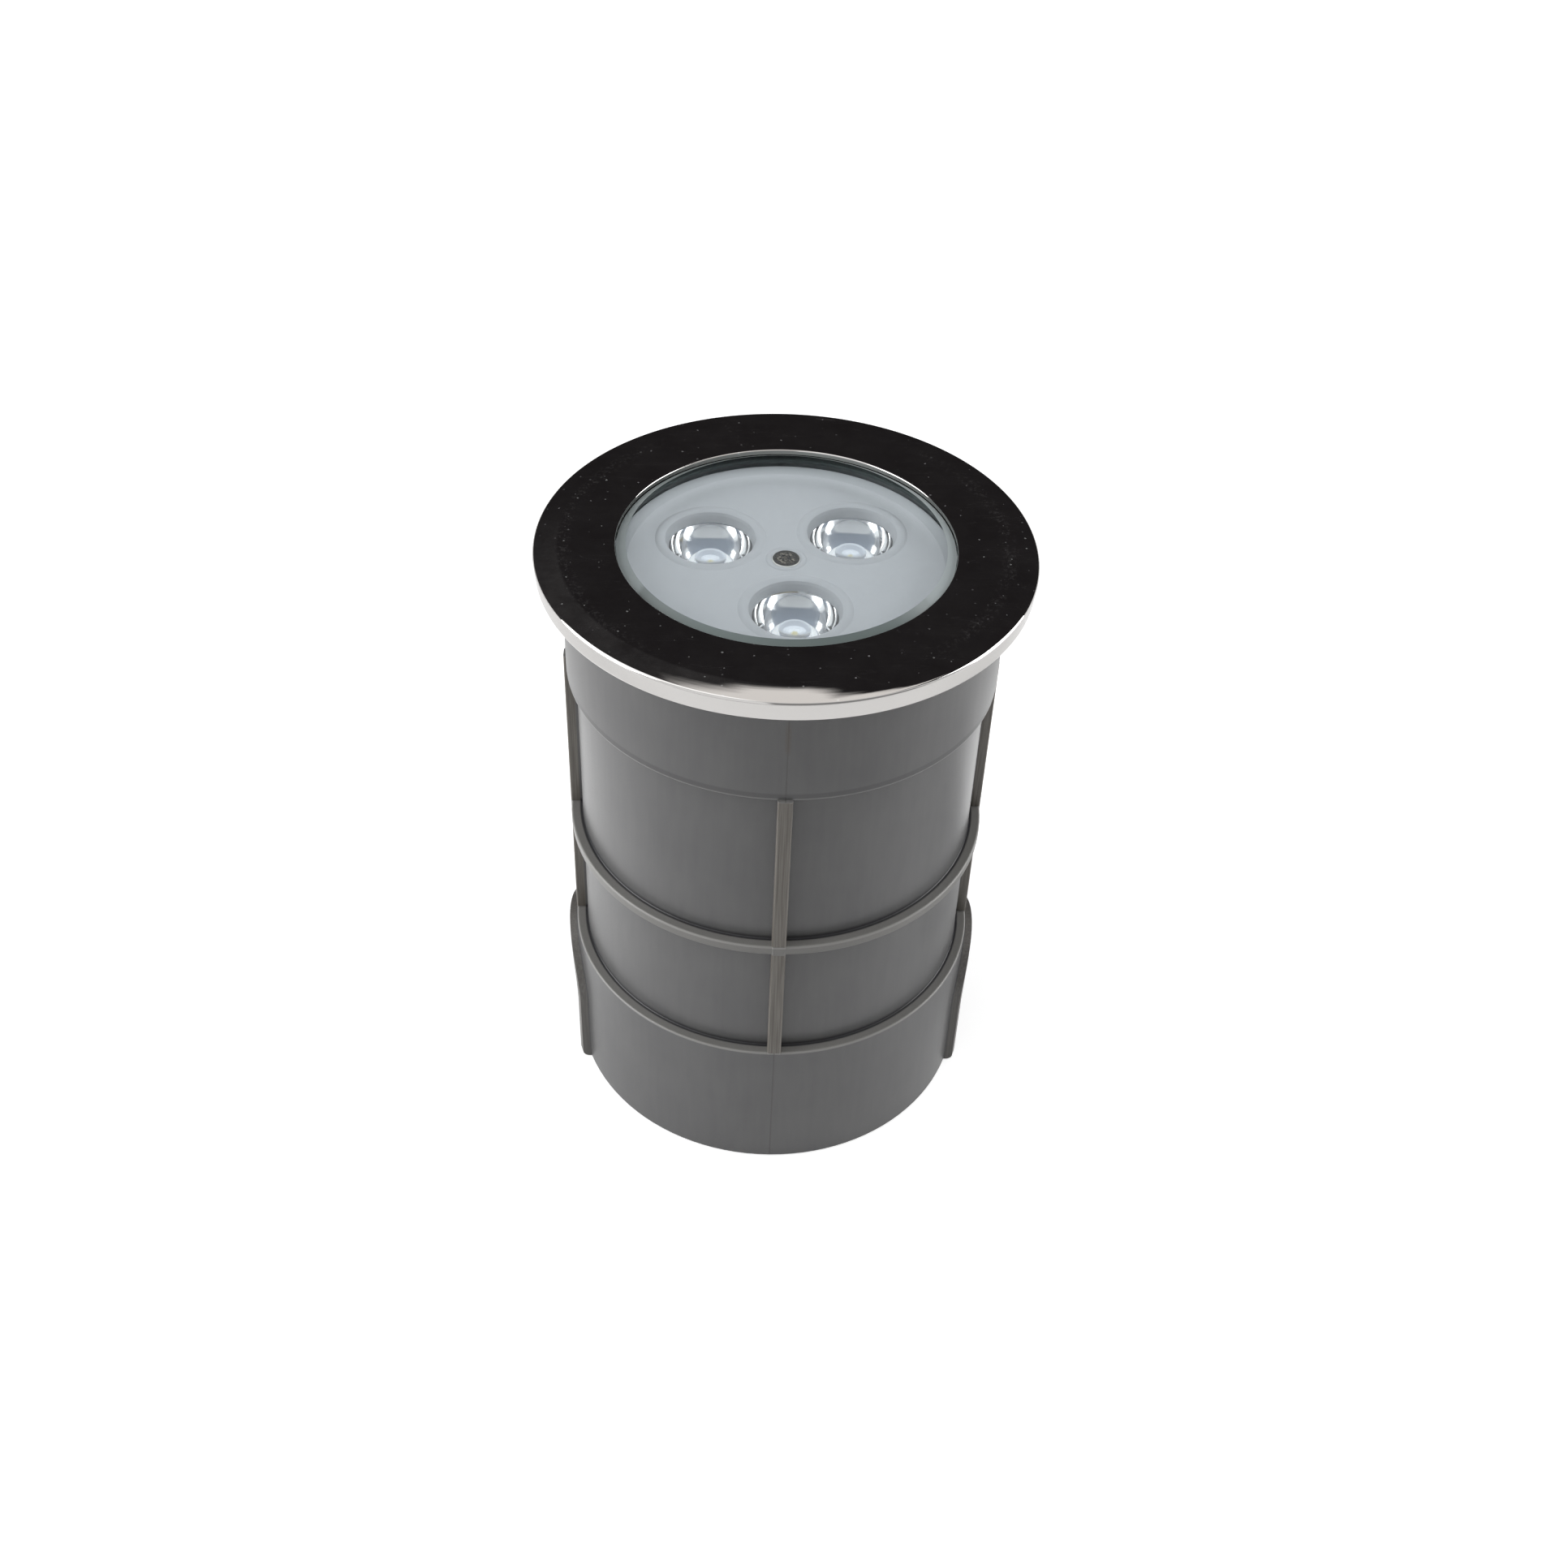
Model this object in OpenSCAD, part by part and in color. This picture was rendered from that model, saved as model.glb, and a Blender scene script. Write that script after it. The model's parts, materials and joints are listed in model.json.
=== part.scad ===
// Recessed pool and ground light: a lamp with a stainless bezel, a stepped glass
// and three clear lenses, which drops into a ribbed plastic mounting sleeve.
// Millimetres, +Z up, origin at the centre of the sleeve's foot.

/* [Bezel] */
// How far the stainless bezel overhangs the sleeve's collar
bezel_overhang = 6; // [3:0.1:10]
// Height of the bezel, from the face that rests on the deck to its top
bezel_h = 5.3; // [5.2:0.1:7]
// Width of the band that curves down to the rim
crown_w = 5.5; // [3:0.5:7]
// How far that band falls
crown_drop = 0.7; // [0.2:0.05:0.9]
// Radius of the rim's upper edge
rim_edge_r = 0.7; // [0.4:0.1:1.2]
// Radius of the rim's lower edge
rim_foot_r = 0.4; // [0.2:0.1:0.8]
// How far the rim's side leans in towards the deck
rim_draft = 0.3; // [0:0.1:0.6]
// Depth of the step under the bezel that clears the sleeve's rim
step_h = 0.4; // [0.4:0.1:1]
// Space between the step and the collar
step_space = 0.6; // [0.4:0.1:1.5]
// Number of screws that clamp the bezel to the housing, from below
bezel_screw_n = 6; // [4:1:8]

/* [Glass] */
// Diameter of the glass that shows in the bezel
glass_d = 75; // [68:1:76]
// Width of the hidden flange round the glass
glass_flange_w = 2.4; // [1.6:0.1:2.8]
// Thickness of that flange
glass_flange_t = 3; // [2:0.1:3.4]
// Width of the polished bevel round the top of the glass
glass_bevel_w = 2.1; // [0.5:0.1:3]
// Depth of that bevel
glass_bevel_h = 1.2; // [0.5:0.1:1.8]
// Gap round the glass, filled with clear sealant
glass_gap = 0.2; // [0.1:0.05:0.5]
// Thickness of the silicone gasket that wraps the flange
gasket_t = 0.8; // [0.5:0.1:1]
// Depth of the gasket's seat in the housing
seat_depth = 1.9; // [1.5:0.1:2.4]

/* [Mounting sleeve] */
// Height of the sleeve
sleeve_h = 147.8; // [135:0.1:180]
// Space between the housing's flange and the collar
collar_space = 1.25; // [0.5:0.05:3]
// Height of the collar
collar_h = 26.8; // [18:0.1:40]
// Space between the housing and the barrel, for the spring clips
barrel_space = 4.7; // [4:0.1:5.5]
// How far the hoop and the skirt stand out past the collar
cage_step = 0.6; // [0:0.1:2]
// Height of the skirt
skirt_h = 39.7; // [38:0.1:46]
// Wall of the sleeve
sleeve_wall = 2; // [1.6:0.1:2.4]
// Height of the hoop's lower face above the foot
hoop_z = 74.1; // [60:0.1:90]
// Thickness of the hoop
hoop_h = 2.5; // [1.5:0.1:4]
// Number of upright ribs
rib_n = 4; // [4:4:12]
// Width of an upright rib
rib_w = 3.3; // [2:0.1:5]
// How far the ribs stand proud of the hoop
rib_proud = 0.1; // [0.1:0.1:0.8]
// Radius of the moulded outside edges
mould_edge_r = 0.45; // [0.2:0.05:0.8]
// Clear width of each arched cable entry
entry_w = 31.6; // [24:0.2:34]
// Clear height of each arched cable entry
entry_h = 35.6; // [28:0.2:35.6]
// Width of the raised rim round a cable entry
entry_rim_w = 2.2; // [1.5:0.1:3]
// How far that rim stands proud of the skirt
entry_rim_proud = 2; // [1:0.1:4]

/* [Housing] */
// Wall of the cast housing
can_wall = 2.2; // [1.8:0.1:2.6]
// Thickness of the flange under the bezel
flange_t = 4; // [3:0.1:6]
// Thickness of the floor round the cable gland
floor_t = 3; // [2.5:0.1:5]
// Number of cooling fins round the housing, with every third part left out for a clip
fin_n = 24; // [12:3:30]
// Thickness of a fin
fin_w = 1.8; // [1.2:0.1:2.4]
// Gap between the sleeve's rim and the bezel above it
seat_gap = 0.3; // [0.3:0.05:0.6]
// How far the lamp is turned in its sleeve, as it stands in the photograph
lamp_turn = 5.5; // [-60:0.5:60]

/* [Optics] */
// Number of light sources
led_n = 3; // [3:1:3]
// Distance of each light source from the centre
led_circle_r = 18.5; // [17.5:0.1:20]
// Gap between the glass and the panel
panel_gap = 2; // [1.9:0.1:4]
// Thickness of the panel
panel_t = 2.2; // [1.6:0.1:3]
// Radius of each opening in the panel, at its face
opening_r = 10.2; // [9.8:0.1:11]
// Width of the raised lip round an opening
lip_w = 2.3; // [1:0.1:3]
// Height of that lip
lip_h = 0.3; // [0.1:0.1:0.6]
// Height of the clear lens behind each opening
lens_h = 10; // [9:0.1:12]
// Radius of the lens's lower end
lens_foot_r = 5.2; // [5:0.1:5.6]
// Thickness of the round circuit board that carries the light sources
led_board_t = 1.6; // [1:0.1:2]
// Thickness of the aluminium heat spreader
spreader_t = 6; // [5:0.1:10]

/* [Driver] */
// Length of the posts that carry the driver board
post_h = 20.6; // [19:0.1:30]
// Thickness of the driver board
driver_board_t = 1.6; // [1:0.1:2]
// Height of the terminal block under the driver board
terminal_h = 10; // [8:0.1:14]
// Diameter of the wound inductor
inductor_d = 12; // [8:0.5:12]
// Height of the inductor
inductor_h = 10; // [6:0.5:14]
// Diameter of each capacitor
capacitor_d = 8; // [5:0.5:9]
// Height of each capacitor
capacitor_h = 15; // [8:0.5:16]
// Width of the transformer's core
core_w = 16; // [12:0.5:18]
// Depth of the core
core_depth = 14; // [10:0.5:15]
// Height of the core
core_h = 12; // [8:0.5:16]

/* [Cable gland] */
// Radius of the gland's thread
gland_r = 10; // [9:0.1:11]
// Width of the gland's hexagons, across the flats
gland_flats = 24; // [23.5:0.1:27]
// Diameter of the cable that the gland's seal takes
cable_d = 8.5; // [6:0.1:10]

/* [Hidden] */
$fn = 96;

// Play between a screw and its hole, and between round parts that sit together
fit = 0.05;
// Looser gap that lets a part drop into another
drop_gap = 0.3;
// Shank, head, head height and reach of the M3 screws used throughout
m3_r = 1.5;
m3_head_r = 2.75;
m3_head_h = 1.8;
m3_bite = 4;
// The same of the smaller screws in the light-source board
small_r = 1.25;
small_head_r = 2.25;
small_head_h = 1.4;
small_bite = 3.5;

// Levels of the bezel and the glass
bearing_z = sleeve_h + seat_gap;
deck_z = bearing_z - step_h;
top_z = deck_z + bezel_h;
seat_z = bearing_z - seat_depth;
glass_z = seat_z + gasket_t;
flange_top_z = glass_z + glass_flange_t;
ceiling_z = flange_top_z + gasket_t;

bezel_screw_reach = top_z - bearing_z - 2;

// Radii of the glass, the gasket and the housing
opening_in_bezel_r = glass_d / 2 + glass_gap;
glass_flange_r = glass_d / 2 + glass_flange_w;
gasket_r = glass_flange_r + fit + gasket_t;
can_r = gasket_r + fit;
screw_circle_r = can_r + m3_head_r + fit;
flange_r = screw_circle_r + m3_head_r + 0.1;
can_in_r = can_r - can_wall;
shoulder_w = can_wall;
lower_r = can_r - shoulder_w;
lower_in_r = can_in_r - shoulder_w;
lug_r = 3.2;
lug_circle_r = lower_in_r - m3_head_r;

// Levels of the optics, from the glass down
panel_top_z = glass_z - panel_gap;
panel_z = panel_top_z - panel_t;
led_board_top_z = panel_z - lens_h;
led_board_z = led_board_top_z - led_board_t;
pad_t = 0.4;
spreader_top_z = led_board_z - pad_t;
spreader_z = spreader_top_z - spreader_t;
panel_r = can_in_r - drop_gap;
panel_rim_w = 1.5;
panel_rim_h = 4;
led_board_r = lug_circle_r - m3_head_r - 0.6;
spreader_r = can_in_r - 0.2;
board_screw_circle_r = 13;
wire_r = 0.7;
wire_x = 1.6;
wire_bend_r = 3;
wire_hole_r = 3;
wire_drop_r = led_board_r - wire_hole_r - 1.3;
wire_pad_r = wire_drop_r - 2 * wire_bend_r;
panel_head_r = 3.1;
panel_head_h = 1;
screw_recess_r = panel_head_r + 0.15;
screw_lip_w = 1.3;
spacer_r = 3;
lens_mouth_r = opening_r - 0.8;

// Levels of the driver and the housing's floor
driver_board_top_z = spreader_z - post_h;
driver_board_z = driver_board_top_z - driver_board_t;
driver_board_r = lug_circle_r - lug_r - 0.6;
post_circle_r = 24;
component_gap = 5;
post_flats = 5.5;
gland_inside_h = 7;
floor_top_z = driver_board_z - terminal_h - 2 - gland_inside_h;
floor_z = floor_top_z - floor_t;
shoulder_z = spreader_z - 4;

// Gland parts, from the floor down
washer_t = 1.5;
hex_h = 6;
neck_h = 8;
nut_h = 13;
gland_neck_r = gland_r - 0.4;
gland_bore_r = gland_neck_r - 1.8;
nut_mouth_r = cable_d / 2 + 1;
locknut_h = 5;

// Radii of the sleeve, from the housing out to the bezel
collar_in_r = flange_r + collar_space;
collar_r = collar_in_r + sleeve_wall;
barrel_in_r = can_r + barrel_space;
barrel_r = barrel_in_r + sleeve_wall;
cage_r = collar_r + cage_step;
bezel_r = collar_r + bezel_overhang;
step_r = collar_r + step_space;
skirt_in_r = cage_r - sleeve_wall;
collar_z = sleeve_h - collar_h;
corner_r = 0.35;

// Spring clips
clip_n = 3;
clip_w = 8;
clip_t = 0.6;
clip_drop = 26;
clip_foot = 8;
clip_pad_r = lower_r + 1.4;
clip_top_z = shoulder_z - 2.5;
clip_reach_r = sqrt(pow(barrel_in_r - drop_gap, 2) - pow(clip_w / 2, 2));

// Points along an arc, from angle a to angle b
function arc(c, r, a, b, n = 6) = [
  for (i = [0:n]) c + r * [cos(a + (b - a) * i / n), sin(a + (b - a) * i / n)]
];

// Regular polygon that measures flats across
module hex(flats) circle(d = flats / cos(30), $fn = 6);

// Ring of copies round the axis
module around(n, start = 0) {
  for (i = [0:n - 1]) rotate([0, 0, start + i * 360 / n]) children();
}

// The lamp is turned as one in its sleeve
module lamp() rotate([0, 0, lamp_turn]) children();

// Pan-head screw that points down, with the seat of its head at z = 0
module pan_screw(shank_r, shank_l, head_r, head_h) {
  slot_w = head_r * 0.28;
  difference() {
    rotate_extrude() polygon(concat(
      [[0, -shank_l], [shank_r - 0.3, -shank_l], [shank_r, 0.3 - shank_l], [shank_r, 0], [head_r, 0]],
      arc([head_r - head_h * 0.6, head_h * 0.4], head_h * 0.6, 0, 90),
      [[0, head_h]]
    ));
    for (a = [0, 90]) rotate([0, 0, a])
      translate([-head_r * 0.55, -slot_w / 2, head_h * 0.45]) cube([head_r * 1.1, slot_w, head_h]);
  }
}

module m3_screw(l) pan_screw(m3_r, l, m3_head_r, m3_head_h);

// Sleeve

// Half section of the sleeve: skirt, barrel, hoop and collar
module sleeve_section() {
  e = mould_edge_r;
  c = corner_r;
  polygon(concat(
    [[skirt_in_r, 0]],
    arc([cage_r - e, e], e, -90, 0),
    arc([cage_r - e, skirt_h - e], e, 0, 90),
    arc([barrel_r + c, skirt_h + c], c, -90, -180, 3),
    arc([barrel_r + c, hoop_z - c], c, 180, 90, 3),
    arc([cage_r - e, hoop_z + e], e, -90, 0),
    arc([cage_r - e, hoop_z + hoop_h - e], e, 0, 90),
    arc([barrel_r + c, hoop_z + hoop_h + c], c, -90, -180, 3),
    arc([barrel_r + c, collar_z - c], c, 180, 90, 3),
    arc([collar_r - e, collar_z + e], e, -90, 0),
    arc([collar_r - e, sleeve_h - e], e, 0, 90),
    [
      [collar_in_r + 0.5, sleeve_h], [collar_in_r, sleeve_h - 0.5],
      [collar_in_r, collar_z + 2], [barrel_in_r, collar_z - 1],
      [barrel_in_r, skirt_h], [skirt_in_r, skirt_h - 3]
    ]
  ));
}

// Upright rib between the skirt and the collar, with rounded outer edges
module sleeve_rib() {
  e = mould_edge_r;
  out = cage_r + rib_proud;
  translate([0, 0, skirt_h - 0.2]) linear_extrude(collar_z - skirt_h + 0.4) polygon(concat(
    [[barrel_r - 1, -rib_w / 2]],
    arc([out - e, e - rib_w / 2], e, -90, 0, 4),
    arc([out - e, rib_w / 2 - e], e, 0, 90, 4),
    [[barrel_r - 1, rib_w / 2]]
  ));
}

// Arched outline of a cable entry, grown all round its arch
module entry_outline(grow = 0, foot = 0) {
  r = entry_w / 2 + grow;
  spring = entry_h - entry_w / 2;
  polygon(concat([[-r, -foot], [r, -foot]], arc([0, spring], r, 0, 180, 32)));
}

// Arched outline pushed out through the skirt, along +X
module entry_prism(grow, foot) {
  translate([skirt_in_r / 2, 0, 0]) rotate([90, 0, 90])
    linear_extrude(cage_r) entry_outline(grow, foot);
}

// Raised rim round one cable entry, rounded at its outer face
module entry_rim() {
  r = cage_r + entry_rim_proud;
  e = entry_rim_w * 0.35;
  intersection() {
    entry_prism(entry_rim_w, 0);
    rotate_extrude() polygon(concat(
      [[skirt_in_r + 0.6, 0]],
      arc([r - 1.5, 1.5], 1.5, -90, 0),
      arc([r - e, entry_h + entry_rim_w], e, 0, 90),
      [[skirt_in_r + 0.6, entry_h + entry_rim_w + e]]
    ));
  }
}

module mounting_sleeve() color("dimgray") difference() {
  union() {
    rotate_extrude() sleeve_section();
    around(rib_n) sleeve_rib();
    around(2) entry_rim();
  }
  around(2) entry_prism(0, 1);
}

// Bezel

module bezel_ring() color("silver") lamp() difference() {
  fall_r = (crown_w * crown_w + crown_drop * crown_drop) / (2 * crown_drop);
  fall_a = acos((crown_w - rim_edge_r) / (fall_r - rim_edge_r));
  rim_z = top_z - fall_r + (fall_r - rim_edge_r) * sin(fall_a);
  lip_r = 0.3;
  rotate_extrude($fn = 180) polygon(concat(
    [[can_r, bearing_z], [step_r, bearing_z], [step_r, deck_z]],
    arc([bezel_r - rim_draft - rim_foot_r, deck_z + rim_foot_r], rim_foot_r, -90, 0, 4),
    arc([bezel_r - rim_edge_r, rim_z], rim_edge_r, 0, fall_a, 8),
    arc([bezel_r - crown_w, top_z - fall_r], fall_r, fall_a, 90, 10),
    arc([opening_in_bezel_r + lip_r, top_z - lip_r], lip_r, 90, 180, 3),
    [[opening_in_bezel_r, ceiling_z], [can_r, ceiling_z]]
  ));
  around(bezel_screw_n) translate([screw_circle_r, 0, bearing_z - 1])
    cylinder(r = m3_r + fit, h = bezel_screw_reach + 1.5);
}

module bezel_screws() color("gray") lamp() around(bezel_screw_n)
  translate([screw_circle_r, 0, bearing_z - flange_t]) rotate([180, 0, 0])
    m3_screw(flange_t + bezel_screw_reach);

// Glass and gasket

module glass_lens() color("lightcyan", 0.4) lamp() rotate_extrude($fn = 180) polygon([
  [0, glass_z], [glass_flange_r - 0.3, glass_z], [glass_flange_r, glass_z + 0.3],
  [glass_flange_r, flange_top_z - 0.3], [glass_flange_r - 0.3, flange_top_z],
  [glass_d / 2, flange_top_z], [glass_d / 2, top_z - glass_bevel_h],
  [glass_d / 2 - glass_bevel_w, top_z], [0, top_z]
]);

module glass_gasket() color("dimgray") lamp() rotate_extrude($fn = 180) difference() {
  translate([opening_in_bezel_r, seat_z]) square([gasket_r - opening_in_bezel_r, ceiling_z - seat_z]);
  translate([0, glass_z]) square([glass_flange_r + fit, glass_flange_t]);
}

// Housing

// Angle at which clip number i is fixed
function clip_a(i) = 30 + i * 360 / clip_n;

// Half section of the cast housing
module housing_section() polygon([
  [0, floor_z], [lower_r - 2, floor_z], [lower_r, floor_z + 2], [lower_r, shoulder_z - 1],
  [can_r, shoulder_z + 1], [can_r, bearing_z - flange_t], [flange_r - 0.4, bearing_z - flange_t],
  [flange_r, bearing_z - flange_t + 0.4], [flange_r, bearing_z], [can_r, bearing_z], [can_r, seat_z],
  [can_in_r, seat_z], [can_in_r, spreader_z], [lower_in_r, spreader_z],
  [lower_in_r, floor_top_z + 1], [lower_in_r - 1, floor_top_z], [0, floor_top_z]
]);

// Lug inside the housing that takes a screw of the heat spreader
module spreader_lug() {
  h = spreader_z - shoulder_z + 2;
  translate([lug_circle_r, 0, spreader_z - h]) linear_extrude(h) {
    circle(r = lug_r);
    translate([0, -lug_r]) square([lower_in_r - lug_circle_r + 1, 2 * lug_r]);
  }
}

// Flat pad on the housing that a spring clip is screwed to
module clip_pad() {
  translate([lower_in_r + 1, -clip_w / 2 - 1, clip_top_z - clip_foot - 1])
    cube([clip_pad_r - lower_in_r - 1, clip_w + 2, clip_foot + 1]);
}

module housing() color("slategray") lamp() difference() {
  union() {
    rotate_extrude() housing_section();
    around(led_n, -90) spreader_lug();
    for (i = [0:fin_n - 1]) if (i % (fin_n / clip_n) != 0)
      rotate([0, 0, clip_a(0) + i * 360 / fin_n]) translate([lower_r - 1, -fin_w / 2, floor_z + 3])
        cube([can_r - lower_r + 1 - 0.3, fin_w, shoulder_z - floor_z - 2.2]);
    for (i = [0:clip_n - 1]) rotate([0, 0, clip_a(i)]) clip_pad();
  }
  translate([0, 0, floor_z - 1]) cylinder(r = gland_r + fit, h = floor_t + 2);
  around(bezel_screw_n) translate([screw_circle_r, 0, bearing_z - flange_t - 1])
    cylinder(r = m3_r + 0.15, h = flange_t + 2);
  around(led_n, -90) translate([lug_circle_r, 0, spreader_z - 5]) cylinder(r = m3_r + fit, h = 6);
  for (i = [0:clip_n - 1]) rotate([0, 0, clip_a(i)])
    translate([clip_pad_r - 3, 0, clip_top_z - clip_foot / 2]) rotate([0, 90, 0])
      cylinder(r = m3_r + fit, h = 4);
}

// Low rounded lip on the panel, round an opening of radius r
module panel_lip(r, w) {
  crown_r = (w * w / 4 + lip_h * lip_h) / (2 * lip_h);
  translate([0, 0, panel_top_z]) rotate_extrude() intersection() {
    translate([r + w / 2, lip_h - crown_r]) circle(r = crown_r);
    translate([r, -0.5]) square([w, 0.5 + lip_h]);
  }
}

// Panel over the lenses, with a lip round each opening and round the screw
module optic_panel() color("lightslategray") lamp() difference() {
  union() {
    rotate_extrude($fn = 180) polygon([
      [0, panel_z], [panel_r - panel_rim_w, panel_z], [panel_r - panel_rim_w, panel_z - panel_rim_h],
      [panel_r, panel_z - panel_rim_h], [panel_r, panel_top_z - 0.4], [panel_r - 0.4, panel_top_z],
      [0, panel_top_z]
    ]);
    around(led_n, -90) translate([led_circle_r, 0, 0]) panel_lip(opening_r, lip_w);
    panel_lip(screw_recess_r, screw_lip_w);
  }
  around(led_n, -90) translate([led_circle_r, 0, 0]) rotate_extrude() polygon([
    [0, panel_z - 1], [lens_mouth_r, panel_z - 1], [lens_mouth_r, panel_z],
    [opening_r - 0.3, panel_top_z - 0.6], [opening_r, panel_top_z], [opening_r, panel_top_z + 2], [0, panel_top_z + 2]
  ]);
  translate([0, 0, panel_z - 1]) cylinder(r = m3_r + 0.15, h = panel_t + 3);
}

// Low socket-head screw in the middle of the panel, through the spacer into the heat spreader
module panel_screw() color("dimgray") lamp() translate([0, 0, panel_top_z]) {
  l = panel_top_z - spreader_top_z + m3_bite;
  edge_r = 0.35;
  socket_flats = 2.6;
  difference() {
    rotate_extrude() polygon(concat(
      [[0, -l], [m3_r - 0.3, -l], [m3_r, 0.3 - l], [m3_r, 0], [panel_head_r, 0]],
      arc([panel_head_r - edge_r, panel_head_h - edge_r], edge_r, 0, 90), [[0, panel_head_h]]
    ));
    translate([0, 0, panel_head_h - 0.7]) linear_extrude(1) hex(socket_flats);
    translate([0, 0, panel_head_h - 0.2]) cylinder(r1 = socket_flats * 0.66, r2 = socket_flats * 0.8, h = 0.3);
  }
}

module panel_spacer() color("goldenrod") lamp() translate([0, 0, spreader_top_z]) difference() {
  cylinder(r = spacer_r, h = panel_z - spreader_top_z);
  translate([0, 0, -1]) cylinder(r = m3_r + 0.15, h = panel_z - spreader_top_z + 2);
}

// Lens and light source

// Place of light source number i
module at_led(i) rotate([0, 0, -90 + i * 360 / led_n]) translate([led_circle_r, 0, 0]) children();

// Clear lens: a flange under the panel, a parabolic side that mirrors inward,
// and a well at its foot with a bulging roof over the light source
module collimator() {
  flange_h = 1;
  side_h = lens_h - flange_h;
  side_top_r = lens_mouth_r + 0.2;
  spread = (side_top_r * side_top_r - lens_foot_r * lens_foot_r) / side_h;
  well_r = lens_foot_r - 1.4;
  well_h = 3.3;
  bulge = 0.6;
  bulge_r = (well_r * well_r + bulge * bulge) / (2 * bulge);
  difference() {
    rotate_extrude() polygon(concat(
      [[0, 0]],
      [for (i = [0:16]) let (z = side_h * i / 16) [sqrt(lens_foot_r * lens_foot_r + spread * z), z]],
      [[lens_mouth_r + 1.5, side_h], [lens_mouth_r + 1.5, lens_h], [0, lens_h]]
    ));
    difference() {
      translate([0, 0, -1]) cylinder(r1 = well_r + 0.1, r2 = well_r - 0.2, h = well_h + 1);
      translate([0, 0, well_h + bulge_r - bulge]) sphere(r = bulge_r);
    }
  }
}

module place_collimator(i) color("azure", 0.5) lamp() at_led(i) translate([0, 0, led_board_top_z]) collimator();

// Light source: ceramic base with a silicone dome
module led_emitter() {
  base_w = 3.5;
  base_h = 0.7;
  dome_r = 1.3;
  translate([-base_w / 2, -base_w / 2, 0]) cube([base_w, base_w, base_h]);
  translate([0, 0, base_h - 0.1]) rotate_extrude() polygon(concat([[0, 0], [dome_r, 0]], arc([0, 0.3], dome_r, 0, 90, 8)));
}

module place_led(i) color("khaki") lamp() at_led(i) translate([0, 0, led_board_top_z]) led_emitter();

module collimator_1() place_collimator(0);
module collimator_2() place_collimator(1);
module collimator_3() place_collimator(2);
module led_emitter_1() place_led(0);
module led_emitter_2() place_led(1);
module led_emitter_3() place_led(2);

// Board, pad and heat spreader

// Holes that the board, the pad and the spreader share
module stack_holes(z, h, screw_hole_r, centre_r) {
  translate([0, 0, z]) cylinder(r = centre_r, h = h);
  around(led_n, 90) translate([board_screw_circle_r, 0, z]) cylinder(r = screw_hole_r, h = h);
  rotate([0, 0, 90]) translate([wire_drop_r, 0, z]) cylinder(r = wire_hole_r, h = h);
}

module led_board() color("white") lamp() difference() {
  translate([0, 0, led_board_z]) cylinder(r = led_board_r, h = led_board_t);
  stack_holes(led_board_z - 1, led_board_t + 2, small_r + 0.15, spacer_r + 0.2);
}

module thermal_pad() color("lightgray") lamp() difference() {
  translate([0, 0, spreader_top_z]) cylinder(r = led_board_r - 0.5, h = pad_t);
  stack_holes(spreader_top_z - 1, pad_t + 2, small_r + 0.15, spacer_r + 0.2);
}

module led_board_screws() color("gray") lamp() around(led_n, 90)
  translate([board_screw_circle_r, 0, led_board_top_z])
    pan_screw(small_r, led_board_t + pad_t + small_bite, small_head_r, small_head_h);

module heat_spreader() color("silver") lamp() difference() {
  translate([0, 0, spreader_z]) cylinder(r = spreader_r, h = spreader_t);
  stack_holes(spreader_top_z - 4.5, 5, small_r + fit, m3_r + fit);
  rotate([0, 0, 90]) translate([wire_drop_r, 0, spreader_z - 1]) cylinder(r = wire_hole_r, h = spreader_t + 2);
  around(led_n, -90) {
    translate([lug_circle_r, 0, spreader_z - 1]) cylinder(r = m3_r + 0.15, h = spreader_t + 2);
    translate([post_circle_r, 0, spreader_z - 1]) cylinder(r = m3_r + fit, h = 5);
  }
}

module spreader_screws() color("gray") lamp() around(led_n, -90)
  translate([lug_circle_r, 0, spreader_top_z]) m3_screw(spreader_t + m3_bite);

// Driver

module driver_posts() color("goldenrod") lamp() around(led_n, -90)
  translate([post_circle_r, 0, driver_board_top_z]) difference() {
    union() {
      linear_extrude(post_h) hex(post_flats);
      translate([0, 0, post_h - 0.5]) cylinder(r = m3_r, h = m3_bite);
    }
    translate([0, 0, -1]) cylinder(r = m3_r + fit, h = m3_bite + 3);
  }

module driver_screws() color("gray") lamp() around(led_n, -90)
  translate([post_circle_r, 0, driver_board_z]) rotate([180, 0, 0]) m3_screw(driver_board_t + m3_bite);

module driver_board() color("darkgreen") lamp() difference() {
  translate([0, 0, driver_board_z]) cylinder(r = driver_board_r, h = driver_board_t);
  around(led_n, -90) translate([post_circle_r, 0, driver_board_z - 1])
    cylinder(r = m3_r + 0.15, h = driver_board_t + 2);
}

// Wound drum core
module driver_inductor() color("saddlebrown") lamp() {
  r = inductor_d / 2;
  h = inductor_h;
  wound_r = 0.77 * r;
  translate([-r - component_gap, r + component_gap, driver_board_top_z]) rotate_extrude() polygon([
    [0, 0], [r, 0], [r, 0.15 * h], [wound_r, 0.22 * h],
    [wound_r, 0.78 * h], [r, 0.85 * h], [r, h], [0, h]
  ]);
}

// Pair of upright can capacitors with rolled edges
module driver_capacitors() color("midnightblue") lamp() {
  r = capacitor_d / 2;
  roll = 0.1 * r;
  groove_z = 0.11 * capacitor_h;
  pitch = capacitor_d + 1;
  for (i = [0, 1]) translate([r + 3 + i * pitch, -capacitor_d, driver_board_top_z])
    rotate_extrude() polygon(concat(
      [[0, 0]], arc([r - roll, roll], roll, -90, 0, 3),
      [[r, groove_z - 0.7 * roll], [r - 0.7 * roll, groove_z], [r, groove_z + 0.7 * roll]],
      arc([r - roll, capacitor_h - roll], roll, 0, 90, 3), [[0, capacitor_h]]
    ));
}

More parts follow.
